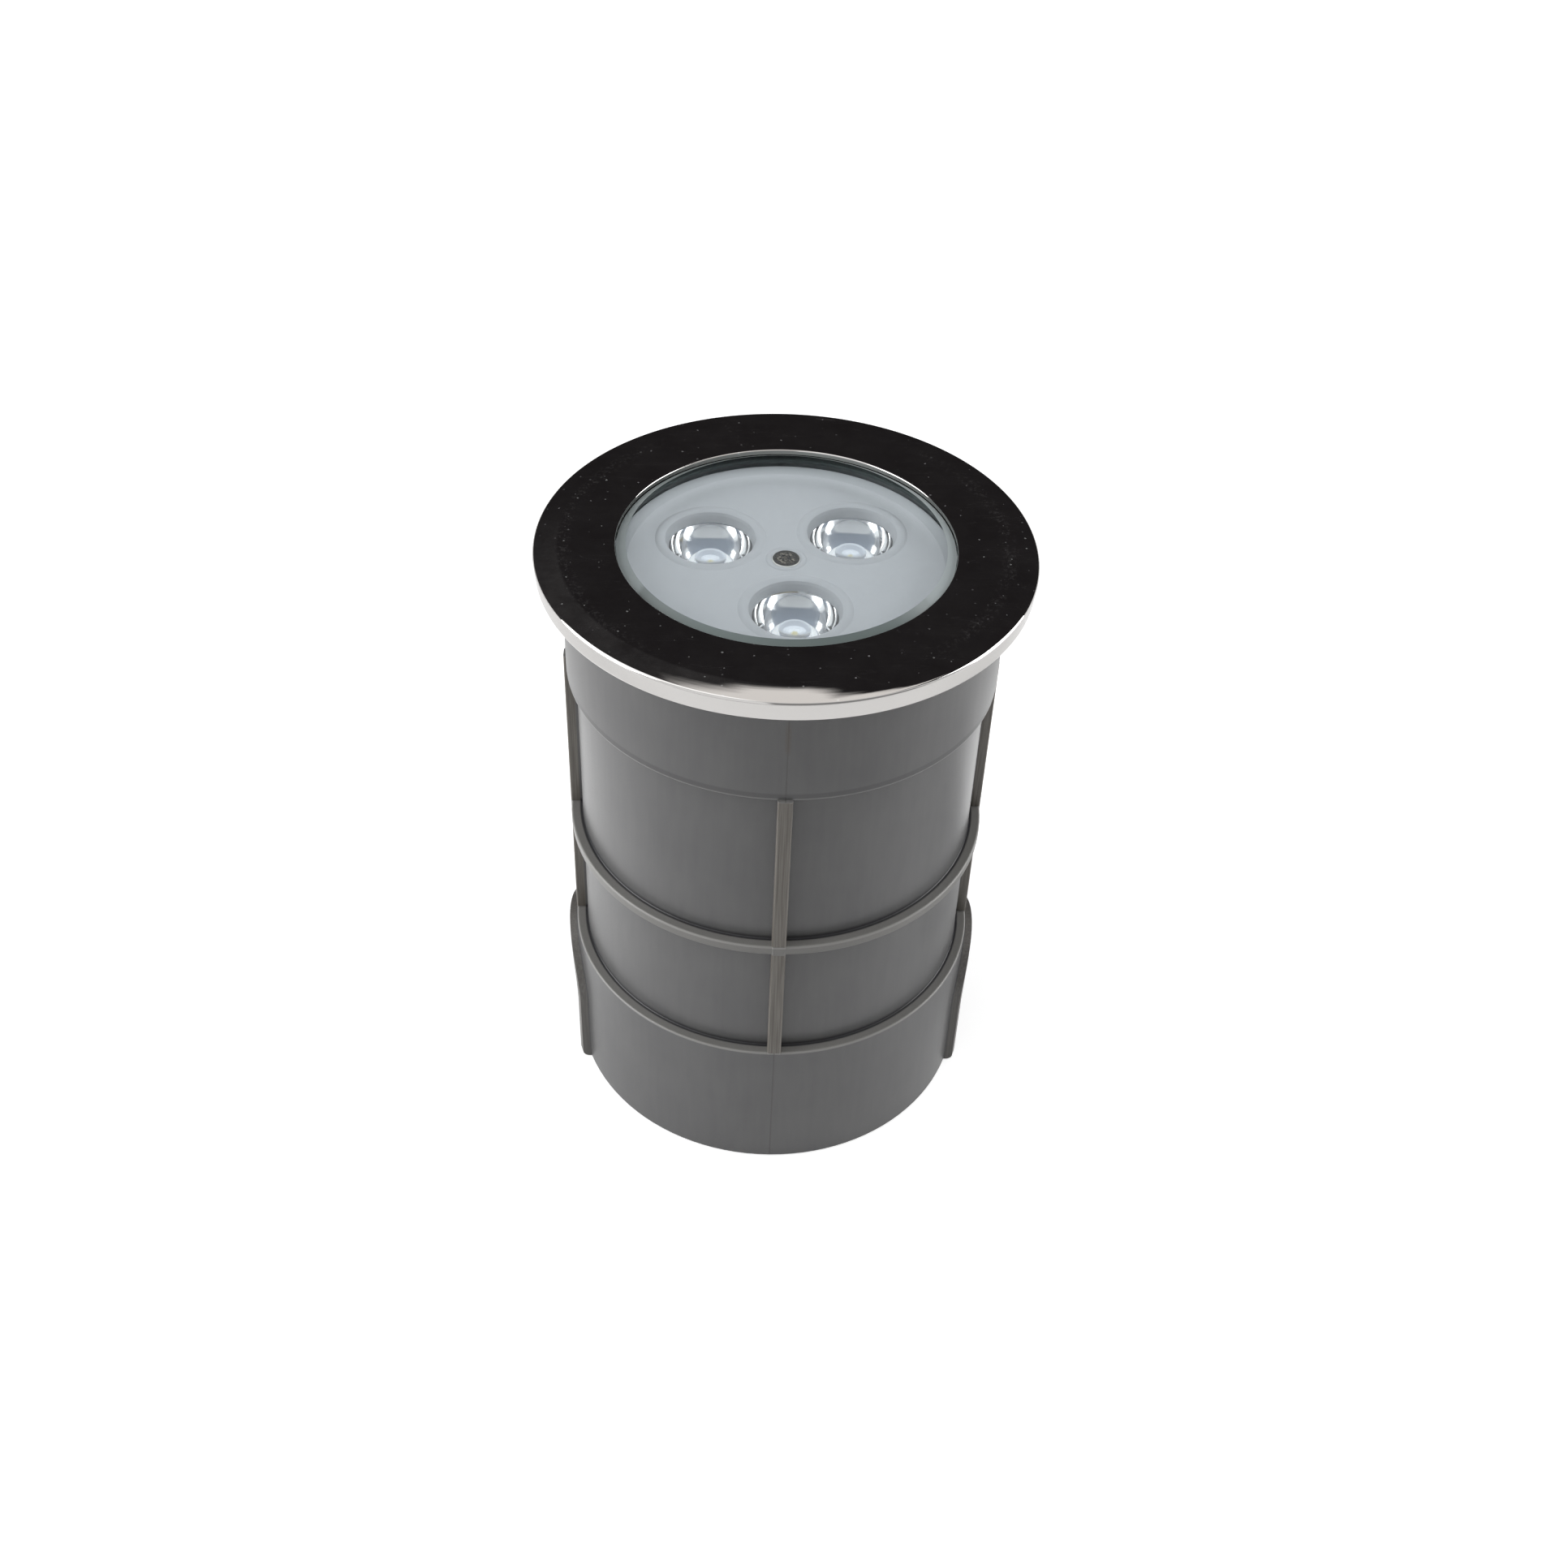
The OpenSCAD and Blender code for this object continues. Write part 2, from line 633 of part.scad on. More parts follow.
// Transformer: a core with an open window, round a wound bobbin
module driver_transformer() color("dimgray") lamp() {
  leg_w = 0.16 * core_w;
  yoke_h = 0.17 * core_h;
  bobbin_w = core_w - 2 * leg_w - 0.4;
  foot_h = 1;
  translate([-core_w / 2, -core_depth / 2 - component_gap, driver_board_top_z]) {
    difference() {
      translate([-core_w / 2, -core_depth / 2, foot_h]) cube([core_w, core_depth, core_h]);
      translate([leg_w - core_w / 2, -core_depth / 2 - 1, foot_h + yoke_h])
        cube([core_w - 2 * leg_w, core_depth + 2, core_h - 2 * yoke_h]);
    }
    translate([-bobbin_w / 2, 0.5 - core_depth / 2, 0]) cube([bobbin_w, core_depth - 1, foot_h + core_h - yoke_h]);
  }
}

// Three-pole terminal block that hangs under the driver board, with its wire ways facing out
module terminal_block() color("black") lamp() {
  pole_w = 5;
  depth = 9;
  translate([-1.5 * pole_w, -4.5, driver_board_z - terminal_h]) difference() {
    cube([3 * pole_w, depth, terminal_h]);
    for (i = [0:2]) translate([pole_w * (i + 0.5), 0, 0]) {
      translate([0, -1, terminal_h / 2]) rotate([-90, 0, 0]) cylinder(r = 1.5, h = 5);
      translate([0, depth - 3, -1]) cylinder(r = 1.4, h = 4);
    }
  }
}

// Lead from a pad on the light-source board, over and down to the driver board
module lead_wire(side) lamp() rotate([0, 0, 90]) translate([0, side * wire_x, 0]) {
  rise = 1;
  translate([wire_pad_r, 0, led_board_top_z]) cylinder(r = wire_r, h = rise, $fn = 24);
  translate([wire_pad_r + wire_bend_r, 0, led_board_top_z + rise]) rotate([90, 0, 0])
    rotate_extrude(angle = 180, $fn = 48) translate([wire_bend_r, 0]) circle(r = wire_r, $fn = 24);
  translate([wire_drop_r, 0, driver_board_top_z])
    cylinder(r = wire_r, h = led_board_top_z + rise - driver_board_top_z, $fn = 24);
}

module lead_wire_red() color("red") lead_wire(1);
module lead_wire_black() color("black") lead_wire(-1);

// Cable gland

gland_hex_z = floor_z - washer_t - hex_h;
neck_z = gland_hex_z - neck_h;
nut_z = gland_hex_z - 0.6 - nut_h;

module gland_body() color("black") lamp() difference() {
  union() {
    translate([0, 0, gland_hex_z]) intersection() {
      linear_extrude(hex_h) hex(gland_flats);
      cylinder(d1 = gland_flats + 1, d2 = gland_flats + 1 + hex_h, h = hex_h);
    }
    translate([0, 0, neck_z]) cylinder(r = gland_neck_r, h = neck_h + 1);
    translate([0, 0, gland_hex_z]) cylinder(r = gland_r, h = hex_h + washer_t + floor_t + gland_inside_h - 1);
  }
  translate([0, 0, neck_z - 1]) cylinder(r = gland_bore_r, h = floor_top_z + gland_inside_h - neck_z + 2);
}

module gland_washer() color("dimgray") lamp() translate([0, 0, floor_z - washer_t]) difference() {
  cylinder(r = gland_flats / 2 - 0.3, h = washer_t);
  translate([0, 0, -1]) cylinder(r = gland_r + fit, h = washer_t + 2);
}

module gland_locknut() color("black") lamp() translate([0, 0, floor_top_z]) difference() {
  linear_extrude(locknut_h) hex(gland_flats);
  translate([0, 0, -1]) cylinder(r = gland_r + fit, h = locknut_h + 2);
}

// Rubber bush that closes on the cable
module gland_seal() color("dimgray") lamp() translate([0, 0, neck_z]) difference() {
  cylinder(r = gland_bore_r - fit, h = neck_h);
  translate([0, 0, -1]) cylinder(d = cable_d, h = neck_h + 2);
}

// Domed nut over the neck, with grip flats
module gland_nut() color("black") lamp() translate([0, 0, nut_z]) difference() {
  intersection() {
    linear_extrude(nut_h) hex(gland_flats);
    rotate_extrude() polygon(concat(
      [[0, 0]], arc([nut_mouth_r + 1.2, 5.5], 5.5, -90, 0, 8),
      [[gland_flats / 2 + 1, 9], [gland_flats / 2 + 1, nut_h - 0.6], [gland_flats / 2, nut_h], [0, nut_h]]
    ));
  }
  translate([0, 0, neck_z - nut_z]) cylinder(r = gland_neck_r + fit, h = nut_h);
  translate([0, 0, -1]) cylinder(r = nut_mouth_r, h = nut_h + 2);
}

// Spring clips

// Leaf spring: a screwed foot, then a bow that reaches towards the sleeve's wall
module spring_clip(i) color("lightsteelblue") lamp() rotate([0, 0, clip_a(i)]) {
  bow = clip_reach_r - clip_pad_r - clip_t;
  line = [for (k = [0:16]) let (t = k / 16) [bow * sin(180 * t) + 0.5 * t, clip_top_z - clip_foot - clip_drop * t]];
  difference() {
    translate([clip_pad_r, clip_w / 2, 0]) rotate([90, 0, 0]) linear_extrude(clip_w) polygon(concat(
      [[0, clip_top_z]], line,
      [for (k = [16:-1:0]) line[k] + [clip_t, 0]], [[clip_t, clip_top_z]]
    ));
    translate([clip_pad_r - 1, 0, clip_top_z - clip_foot / 2]) rotate([0, 90, 0])
      cylinder(r = m3_r + 0.15, h = 3);
  }
}

module spring_clip_1() spring_clip(0);
module spring_clip_2() spring_clip(1);
module spring_clip_3() spring_clip(2);

module clip_screws() color("gray") lamp() for (i = [0:clip_n - 1]) rotate([0, 0, clip_a(i)])
  translate([clip_pad_r + clip_t, 0, clip_top_z - clip_foot / 2]) rotate([0, 90, 0])
    m3_screw(clip_t + 2.6);

mounting_sleeve();
bezel_ring();
bezel_screws();
glass_lens();
glass_gasket();
housing();
optic_panel();
panel_screw();
panel_spacer();
collimator_1();
collimator_2();
collimator_3();
led_emitter_1();
led_emitter_2();
led_emitter_3();
led_board();
led_board_screws();
thermal_pad();
heat_spreader();
spreader_screws();
driver_board();
driver_posts();
driver_screws();
driver_inductor();
driver_capacitors();
driver_transformer();
terminal_block();
lead_wire_red();
lead_wire_black();
gland_body();
gland_washer();
gland_locknut();
gland_seal();
gland_nut();
spring_clip_1();
spring_clip_2();
spring_clip_3();
clip_screws();
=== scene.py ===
import json
import math

import bpy
from mathutils import Matrix, Vector


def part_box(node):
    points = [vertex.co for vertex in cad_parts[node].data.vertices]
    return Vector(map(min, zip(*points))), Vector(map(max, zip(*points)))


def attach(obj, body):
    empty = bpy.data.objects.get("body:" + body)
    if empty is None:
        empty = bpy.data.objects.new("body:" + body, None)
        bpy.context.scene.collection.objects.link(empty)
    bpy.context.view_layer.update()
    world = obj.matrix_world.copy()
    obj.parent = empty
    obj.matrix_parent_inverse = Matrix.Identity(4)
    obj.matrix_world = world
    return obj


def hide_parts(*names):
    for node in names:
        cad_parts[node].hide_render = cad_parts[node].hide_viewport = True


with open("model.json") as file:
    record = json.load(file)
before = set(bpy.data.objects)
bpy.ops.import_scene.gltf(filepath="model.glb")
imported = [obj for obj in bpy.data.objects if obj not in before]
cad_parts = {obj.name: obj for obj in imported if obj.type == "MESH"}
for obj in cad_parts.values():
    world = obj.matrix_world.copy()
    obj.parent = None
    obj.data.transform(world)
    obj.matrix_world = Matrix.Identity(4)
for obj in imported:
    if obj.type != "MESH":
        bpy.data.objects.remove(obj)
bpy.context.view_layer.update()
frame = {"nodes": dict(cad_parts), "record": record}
nodes = frame["nodes"]

MM = 0.001

# Camera, worked out from the circles of the bezel, the hoop and the foot in the photograph
PHOTO_SIDE = 1932
FOCAL_PX = 2311.34
SENSOR_MM = 36.0
CAMERA_ELEVATION = math.radians(34.271)
CAMERA_DISTANCE = 416.08 * MM
CAMERA_YAW = math.radians(-0.221)
CAMERA_PITCH = math.radians(-7.364)
CAMERA_ROLL = math.radians(2.416)
SLEEVE_TURN = math.radians(-2.3)
CLIP_START = 0.01
CLIP_END = 50
TOP_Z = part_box("bezel_ring")[1].z

# Heights on the lamp that its paint follows, in millimetres
BEZEL_TOP_Z = 153.0
SKIRT_H = 39.7
HOOP_Z = 74.1
HOOP_H = 2.5
HOOP_TOP_Z = HOOP_Z + HOOP_H
COLLAR_Z = 121.0
STAIN_Z = 138.0
DOME_Z = 133.5

# Radii on the sleeve, in millimetres. Where there are two, its paint changes from the first to the second.
BARREL_R = 48.4
RAISED_R = (48.0, 48.3)
CREASE_R = (BARREL_R, 47.9)
COLLAR_FACE_R = (49.4, 49.6)
OUTER_EDGE_R = (49.7, 49.9)
ENTRY_RIM_R = (50.5, 50.7)

# Painted lines on the sleeve (highlights along edges, shade in creases and on the chamfer, the parting line), in
# millimetres: how far in from an edge they lie, and their half width and soft border
EDGE_IN = 0.25
EDGE_HIGHLIGHT_LINE = (0.16, 0.12)
COLLAR_HIGHLIGHT_LINE = (0.15, 0.25)
CHAMFER_IN = 1.2
CHAMFER_SHADE_LINE = (0.45, 0.35)
CREASE_H = 1.4
UNDER_COLLAR_H = 1.2
PARTING_LINE = (0.10, 0.12)

# Space round the lenses, inside the housing and under the panel
CAVITY_R = 38.6
CAVITY_Z = 124.6
CAVITY_TOP_Z = 142.7

GLASS_IOR = 1.52
ACRYLIC_IOR = 1.49


def make_camera():
    """The photograph's camera: it looks at the middle of the bezel, then pitches and rolls to the framing."""
    back = Vector((0, -math.cos(CAMERA_ELEVATION), math.sin(CAMERA_ELEVATION)))
    right = Vector((1, 0, 0))
    turn = Matrix((right, back.cross(right), back)).transposed()
    for angle, axis in ((CAMERA_YAW, "Y"), (CAMERA_PITCH, "X"), (CAMERA_ROLL, "Z")):
        turn = turn @ Matrix.Rotation(angle, 3, axis)
    place = Matrix.Translation(back * CAMERA_DISTANCE + Vector((0, 0, TOP_Z))) @ turn.to_4x4()
    data = bpy.data.cameras.new("camera")
    data.sensor_width = SENSOR_MM
    data.lens = FOCAL_PX / PHOTO_SIDE * SENSOR_MM
    data.clip_start = CLIP_START
    data.clip_end = CLIP_END
    camera = bpy.data.objects.new("camera", data)
    camera.matrix_world = Matrix.Rotation(SLEEVE_TURN, 4, "Z") @ place
    bpy.context.scene.collection.objects.link(camera)
    bpy.context.scene.camera = camera


# Colours

def grey(value):
    return (value, value, value, 1.0)


def srgb(r, g, b):
    """A colour as it looks on screen, 0 to 255, as linear values."""
    shares = (v / 255 for v in (r, g, b))
    return tuple(v / 12.92 if v <= 0.04045 else ((v + 0.055) / 1.055) ** 2.4 for v in shares)


def paint(r, g, b):
    """The same with an alpha of 1, as colour sockets take it."""
    return (*srgb(r, g, b), 1.0)


# Node helpers

class Nodes:
    """The node tree of a material or of the world, with short calls to add and join nodes."""

    def __init__(self, tree):
        self.tree = tree
        tree.nodes.clear()

    def add(self, kind, inputs=None, **settings):
        node = self.tree.nodes.new(kind)
        for key, value in settings.items():
            setattr(node, key, value)
        for key, value in (inputs or {}).items():
            self.set(node.inputs[key], value)
        return node

    def set(self, socket, value):
        if isinstance(value, bpy.types.NodeSocket):
            self.tree.links.new(value, socket)
        elif isinstance(value, bpy.types.Node):
            self.tree.links.new(value.outputs[0], socket)
        else:
            socket.default_value = value

    def math(self, operation, a, b=0.0, clamp=False):
        return self.add("ShaderNodeMath", {0: a, 1: b}, operation=operation, use_clamp=clamp).outputs[0]

    def fold(self, operation, values):
        result = values[0]
        for value in values[1:]:
            result = self.math(operation, result, value)
        return result

    def times(self, *values):
        return self.fold("MULTIPLY", values)

    def plus(self, *values):
        return self.fold("ADD", values)

    def most(self, *values):
        return self.fold("MAXIMUM", values)

    def minus(self, a, b):
        return self.math("SUBTRACT", a, b)

    def above(self, a, b):
        """1 where a is greater than b, else 0."""
        return self.math("GREATER_THAN", a, b)

    def below(self, a, b):
        """1 where a is less than b, else 0."""
        return self.math("LESS_THAN", a, b)

    def size(self, value):
        return self.math("ABSOLUTE", value)

    def length(self, a, b):
        """Length of the flat vector (a, b)."""
        return self.math("SQRT", self.plus(self.math("POWER", a, 2.0), self.math("POWER", b, 2.0)))

    def parts(self, where):
        return self.add("ShaderNodeSeparateXYZ", {0: where}).outputs

    def stretch(self, where, factors):
        return self.add("ShaderNodeVectorMath", {0: where, 1: factors}, operation="MULTIPLY").outputs[0]

    def ramp(self, value, *stops):
        """Colours at places from 0 to 1. A number stands for a grey."""
        node = self.add("ShaderNodeValToRGB", {0: value})
        elements = node.color_ramp.elements
        while len(elements) > len(stops):
            elements.remove(elements[-1])
        while len(elements) < len(stops):
            elements.new(1.0)
        for element, (place, colour) in zip(elements, stops):
            element.position = place
            element.color = grey(colour) if isinstance(colour, (int, float)) else (*colour, 1.0)
        return node.outputs[0]

    def mix(self, share, a, b):
        return self.add("ShaderNodeMix", {0: share, 6: a, 7: b}, data_type="RGBA").outputs[2]

    def noise(self, place, scale, detail=2.0, roughness=0.5):
        inputs = {"Vector": place, "Scale": scale, "Detail": detail, "Roughness": roughness}
        return self.add("ShaderNodeTexNoise", inputs).outputs[0]

    def between(self, value, low, high, out_low=0.0, out_high=1.0):
        """Smooth rise from out_low to out_high as value goes from low to high."""
        inputs = {0: value, 1: low, 2: high, 3: out_low, 4: out_high}
        return self.add("ShaderNodeMapRange", inputs, interpolation_type="SMOOTHSTEP").outputs[0]

    def near(self, value, centre, half, soft):
        """1 where value is within half of centre, falling to 0 over soft."""
        away = self.size(self.minus(value, centre))
        return self.add("ShaderNodeMapRange", {0: away, 1: half, 2: half + soft, 3: 1.0, 4: 0.0}).outputs[0]

    def spread(self, noise, low, high):
        """A noise's usual range, 0.3 to 0.7, taken evenly to low to high."""
        return self.add("ShaderNodeMapRange", {0: noise, 1: 0.3, 2: 0.7, 3: low, 4: high}).outputs[0]

    def tint(self, noise, low, high, places=(0.3, 0.7)):
        """A colour that goes with a noise from low to high."""
        return self.ramp(noise, (places[0], low), (places[1], high))

    def bump(self, height, strength, distance_mm):
        return self.add("ShaderNodeBump", {"Height": height, "Strength": strength, "Distance": distance_mm * MM})

    def surface(self, inputs):
        return self.add("ShaderNodeBsdfPrincipled", inputs)

    def output(self, shader):
        self.add("ShaderNodeOutputMaterial", {"Surface": shader})


def material(name):
    """A new material, its nodes, and the place on the object in millimetres.

    The place stays on the part as it moves.
    """
    made = bpy.data.materials.new(name)
    made.use_nodes = True
    n = Nodes(made.node_tree)
    where = n.stretch(n.add("ShaderNodeTexCoord").outputs["Object"], (1 / MM, 1 / MM, 1 / MM))
    return made, n, where


def radial(n, where):
    """Distance from the lamp's axis in millimetres, and the position's parts."""
    parts = n.parts(where)
    return n.length(parts[0], parts[1]), parts


def middle_of(name):
    """The middle of a CAD piece seen from above, in millimetres."""
    low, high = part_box(name)
    return ((low.x + high.x) / 2 / MM, (low.y + high.y) / 2 / MM)


LENS_AXES = {name: middle_of(name) for name in ("collimator_1", "collimator_2", "collimator_3")}


def from_lens_axis(n, xyz):
    """Distance in millimetres from the nearest of the three lens axes."""
    best = None
    for x, y in LENS_AXES.values():
        away = n.length(n.minus(xyz[0], x), n.minus(xyz[1], y))
        best = away if best is None else n.math("MINIMUM", best, away)
    return best


# Materials

PLAIN_PATCH_SCALE = 0.5
PLAIN_BUMP = 0.35
PAINTED_BACK_LIGHT_R = (30.5, 36.0)
PAINTED_BACK_LIGHT_Y = (0.0, 22.0)
PAINTED_BACK_LIGHT_SHARE = 0.75
CAVITY_LIGHT = (0.55, 0.6, 0.68, 1.0)
CAVITY_GLOW = 0.45


def plain(name, colour, rough, metal=0.0, grain=18.0, grain_mm=0.02, spread=0.10, lit=False, painted_back_light=None):
    """A moulded, cast or coated surface: colour in patches and grain, with uneven gloss and a fine bump.

    Where lit is set, the faces round the cavity glow faintly: the light that the real lenses gather into it.
    Towards the wall at the back the surface is painted paler, in the colour given for it, as painted light.
    """
    made, n, where = material(name)
    fine = n.noise(where, grain, 3.0)
    level = n.plus(n.times(fine, 0.35), n.times(n.noise(where, PLAIN_PATCH_SCALE), 0.65))
    low = tuple(c * (1 - spread) for c in colour)
    high = tuple(min(1.0, c * (1 + spread)) for c in colour)
    tint = n.tint(level, low, high)
    # Painted light: the surface is painted paler towards the wall at the back
    if painted_back_light is not None:
        r, xyz = radial(n, where)
        back = n.times(n.between(r, *PAINTED_BACK_LIGHT_R), n.between(xyz[1], *PAINTED_BACK_LIGHT_Y), PAINTED_BACK_LIGHT_SHARE)
        tint = n.mix(back, tint, (*painted_back_light, 1.0))
    shader = n.surface({
        "Base Color": tint, "Roughness": n.spread(fine, max(0.02, rough - 0.06), rough + 0.08),
        "Metallic": metal, "Normal": n.bump(fine, PLAIN_BUMP, grain_mm),
    })
    if lit:
        r, xyz = radial(n, where)
        inside = n.times(n.below(xyz[2], CAVITY_TOP_Z), n.above(xyz[2], CAVITY_Z), n.below(r, CAVITY_R))
        n.set(shader.inputs["Emission Color"], n.mix(inside, grey(0.0), n.mix(0.5, tint, CAVITY_LIGHT)))
        shader.inputs["Emission Strength"].default_value = CAVITY_GLOW
    n.output(shader)
    return made


def sleeve_plastic():
    """Grey moulded plastic: warmer on the ribs, with painted light on the hoop, painted highlights along raised
    edges, painted shade in creases, and a parting line.
    """
    made, n, where = material("sleeve_plastic_look")
    r, xyz = radial(n, where)
    z = xyz[2]
    fine = n.noise(where, 9.0, 4.0, 0.6)
    broad = n.noise(where, 0.06, 3.0)
    flow = n.noise(n.stretch(where, (1.1, 1.1, 0.12)), 0.5, 3.0)
    streak = n.noise(n.stretch(where, (2.6, 2.6, 0.05)), 1.0, 3.0)
    wall = n.tint(n.plus(n.times(broad, 0.6), n.times(flow, 0.4)), srgb(90, 90, 91), srgb(99, 99, 99))
    painted_light = n.tint(fine, srgb(112, 111, 109), srgb(124, 123, 120))
    warm = n.tint(streak, srgb(92, 87, 80), srgb(120, 116, 110), (0.35, 0.65))

    # Hoop and skirt edge painted paler, as painted light; ribs and entry rims warm
    raised = n.between(r, *RAISED_R)
    hoop = n.near(z, HOOP_Z + HOOP_H / 2, HOOP_H / 2 + 0.1, 0.1)
    lit_bands = n.times(raised, n.most(hoop, n.near(z, SKIRT_H, 0.15, 0.1)))
    span = n.times(n.above(z, SKIRT_H + 0.2), n.below(z, COLLAR_Z))
    tint = n.mix(lit_bands, wall, painted_light)
    tint = n.mix(n.times(raised, span, n.minus(1.0, lit_bands)), tint, warm)
    tint = n.mix(n.times(n.between(r, *ENTRY_RIM_R), 0.5), tint, warm)

    # Painted highlights along the edges of the hoop, the skirt and the collar
    edges = n.most(n.near(z, HOOP_TOP_Z - EDGE_IN, *EDGE_HIGHLIGHT_LINE), n.near(z, SKIRT_H - EDGE_IN, *EDGE_HIGHLIGHT_LINE))
    collar_edge_highlight = n.times(n.near(z, COLLAR_Z + EDGE_IN, *COLLAR_HIGHLIGHT_LINE), n.between(r, *COLLAR_FACE_R), 0.6)
    edges = n.most(n.times(edges, n.between(r, *OUTER_EDGE_R)), collar_edge_highlight)
    tint = n.mix(n.times(edges, 0.55), tint, paint(158, 157, 154))

    # Painted shade in the creases above the hoop and the skirt, under the collar, and on the collar's chamfer
    above_hoop = n.times(n.between(z, HOOP_TOP_Z + CREASE_H, HOOP_TOP_Z), n.above(z, HOOP_TOP_Z - 0.2))
    above_skirt = n.times(n.between(z, SKIRT_H + CREASE_H, SKIRT_H), n.above(z, SKIRT_H - 0.2))
    crease_shade = n.times(n.most(above_hoop, above_skirt), n.between(r, *CREASE_R))
    under = n.times(n.between(z, COLLAR_Z - UNDER_COLLAR_H, COLLAR_Z), n.below(z, COLLAR_Z), n.below(r, BARREL_R))
    chamfer_shade = n.times(n.near(z, COLLAR_Z + CHAMFER_IN, *CHAMFER_SHADE_LINE), n.between(r, *COLLAR_FACE_R))
    dark = n.most(n.times(crease_shade, 0.85), n.times(under, 0.35), n.times(chamfer_shade, 0.3))
    tint = n.mix(dark, tint, paint(26, 26, 30))

    # The parting line in the middle of the front and the back, and the stain on it
    line = n.times(n.near(xyz[0], 0.0, *PARTING_LINE), n.minus(1.0, span))
    stain = n.times(n.near(xyz[0], 0.0, 0.35, 0.5), n.near(z, STAIN_Z, 2.6, 2.2), n.between(fine, 0.35, 0.6))
    tint = n.mix(n.times(line, 0.4), tint, paint(60, 58, 55))
    tint = n.mix(n.times(stain, 0.45), tint, paint(88, 74, 58))

    height = n.plus(n.times(fine, 0.5), n.times(line, 1.2))
    n.output(n.surface({
        "Base Color": tint, "Roughness": n.spread(fine, 0.27, 0.36), "Normal": n.bump(height, 0.25, 0.03),
    }))
    return made


DUST_RING_R = 49.2
DUST_RING_LINE = (0.5, 1.6)
DUST_RING_X = (24.0, 40.0)
CROWN_FILM_R = (50.0, 50.8)
CROWN_FILM_X = (4.0, -14.0)
CROWN_FILM_Y = (12.0, -8.0)
FACE_DEPTH = 0.6
SPECK_SCALE = 0.3


def mirror_steel():
    """Mirror-polished stainless steel with dust, a thin film, wipe marks and hairline scratches."""
    made, n, where = material("mirror_steel")
    r, xyz = radial(n, where)

    # Specks on the face, thicker on a ring near the crown
    ring = n.times(n.near(r, DUST_RING_R, *DUST_RING_LINE), n.between(n.size(xyz[0]), *DUST_RING_X))
    cells = {"Vector": where, "Scale": SPECK_SCALE}
    grains = n.add("ShaderNodeTexVoronoi", cells, feature="F1", voronoi_dimensions="2D")
    chosen = n.add("ShaderNodeSeparateColor", {0: grains.outputs["Color"]}).outputs
    on_face = n.above(xyz[2], BEZEL_TOP_Z - FACE_DEPTH)
    kept = n.times(n.above(chosen[0], n.minus(0.72, n.times(ring, 0.6))), on_face)
    speck = n.below(grains.outputs["Distance"], n.times(kept, n.plus(0.025, n.times(chosen[1], 0.05))))

    # Film: thin all over, dusty on the ring, and thicker on the crown at the front left
    cloud = n.noise(where, 0.12, 6.0, 0.75)
    dusty = n.between(n.noise(where, 1.1, 4.0, 0.8), 0.5, 0.68)
    front_left = n.times(n.between(xyz[0], *CROWN_FILM_X), n.between(xyz[1], *CROWN_FILM_Y))
    crown = n.times(n.between(r, *CROWN_FILM_R), front_left)
    film = n.plus(
        n.ramp(cloud, (0.35, 0.25), (0.75, 0.6)),
        n.times(ring, dusty, 1.6),
        n.times(crown, n.ramp(cloud, (0.3, 0.3), (0.7, 1.1))),
    )

    # Hairline scratches where the wipe marks are
    wipe = n.noise(n.stretch(where, (0.05, 0.3, 0.3)), 1.0, 4.0)
    cells = {"Vector": n.stretch(where, (0.08, 1.9, 1.0)), "Scale": 1.0}
    hair = n.add("ShaderNodeTexVoronoi", cells, feature="DISTANCE_TO_EDGE").outputs[0]
    scratch = n.times(n.ramp(hair, (0.0, 1.0), (0.012, 0.0)), n.ramp(wipe, (0.5, 0.0), (0.62, 1.0)))

    others = n.plus(n.times(scratch, 0.04), n.times(film, 0.02))
    marks = n.math("ADD", n.times(speck, chosen[2], 0.2), others, clamp=True)
    wave = n.noise(n.stretch(where, (0.16, 0.6, 0.6)), 1.0, 3.0)
    n.output(n.surface({
        "Base Color": n.mix(speck, (0.66, 0.645, 0.63, 1.0), grey(0.8)),
        "Roughness": n.plus(n.spread(wipe, 0.015, 0.045), n.times(scratch, 0.05)),
        "Metallic": n.minus(1.0, marks), "Normal": n.bump(wave, 0.3, 0.012),
    }))
    return made


def clear(name, colour, ior, haze, film=0.0):
    """Clear glass or acrylic: a faint tint, a soft film, and a fine haze of dust on its surface."""
    made, n, where = material(name)
    dust = n.noise(where, 2.6, 6.0, 0.7)
    brighter = tuple(min(1.0, c * 1.01) for c in colour)
    n.output(n.surface({
        "Base Color": n.tint(n.noise(where, 0.05, 1.0), colour, brighter),
        "Roughness": n.ramp(dust, (0.6, film), (0.85, film + haze)),
        "IOR": ior, "Transmission Weight": 1.0,
    }))
    return made


def lens_well():
    """The moulded well over each light source: clear acrylic with a milky skin, and a faint glow that is painted
    light.
    """
    made, n, where = material("lens_well_look")
    fine = n.noise(where, 4.0, 3.0)
    tint = n.tint(fine, srgb(224, 232, 242), srgb(240, 245, 250))
    # Painted light: the well glows faintly in its own colour
    n.output(n.surface({
        "Base Color": tint, "Roughness": n.spread(fine, 0.1, 0.2), "IOR": ACRYLIC_IOR,
        "Transmission Weight": 0.88, "Emission Color": tint, "Emission Strength": 0.14,
    }))
    return made


BEVEL_FRONT_SHADE_Y = (-36.0, -14.0)
BEVEL_SIDE_LIGHT_X = (-30.0, 30.0)


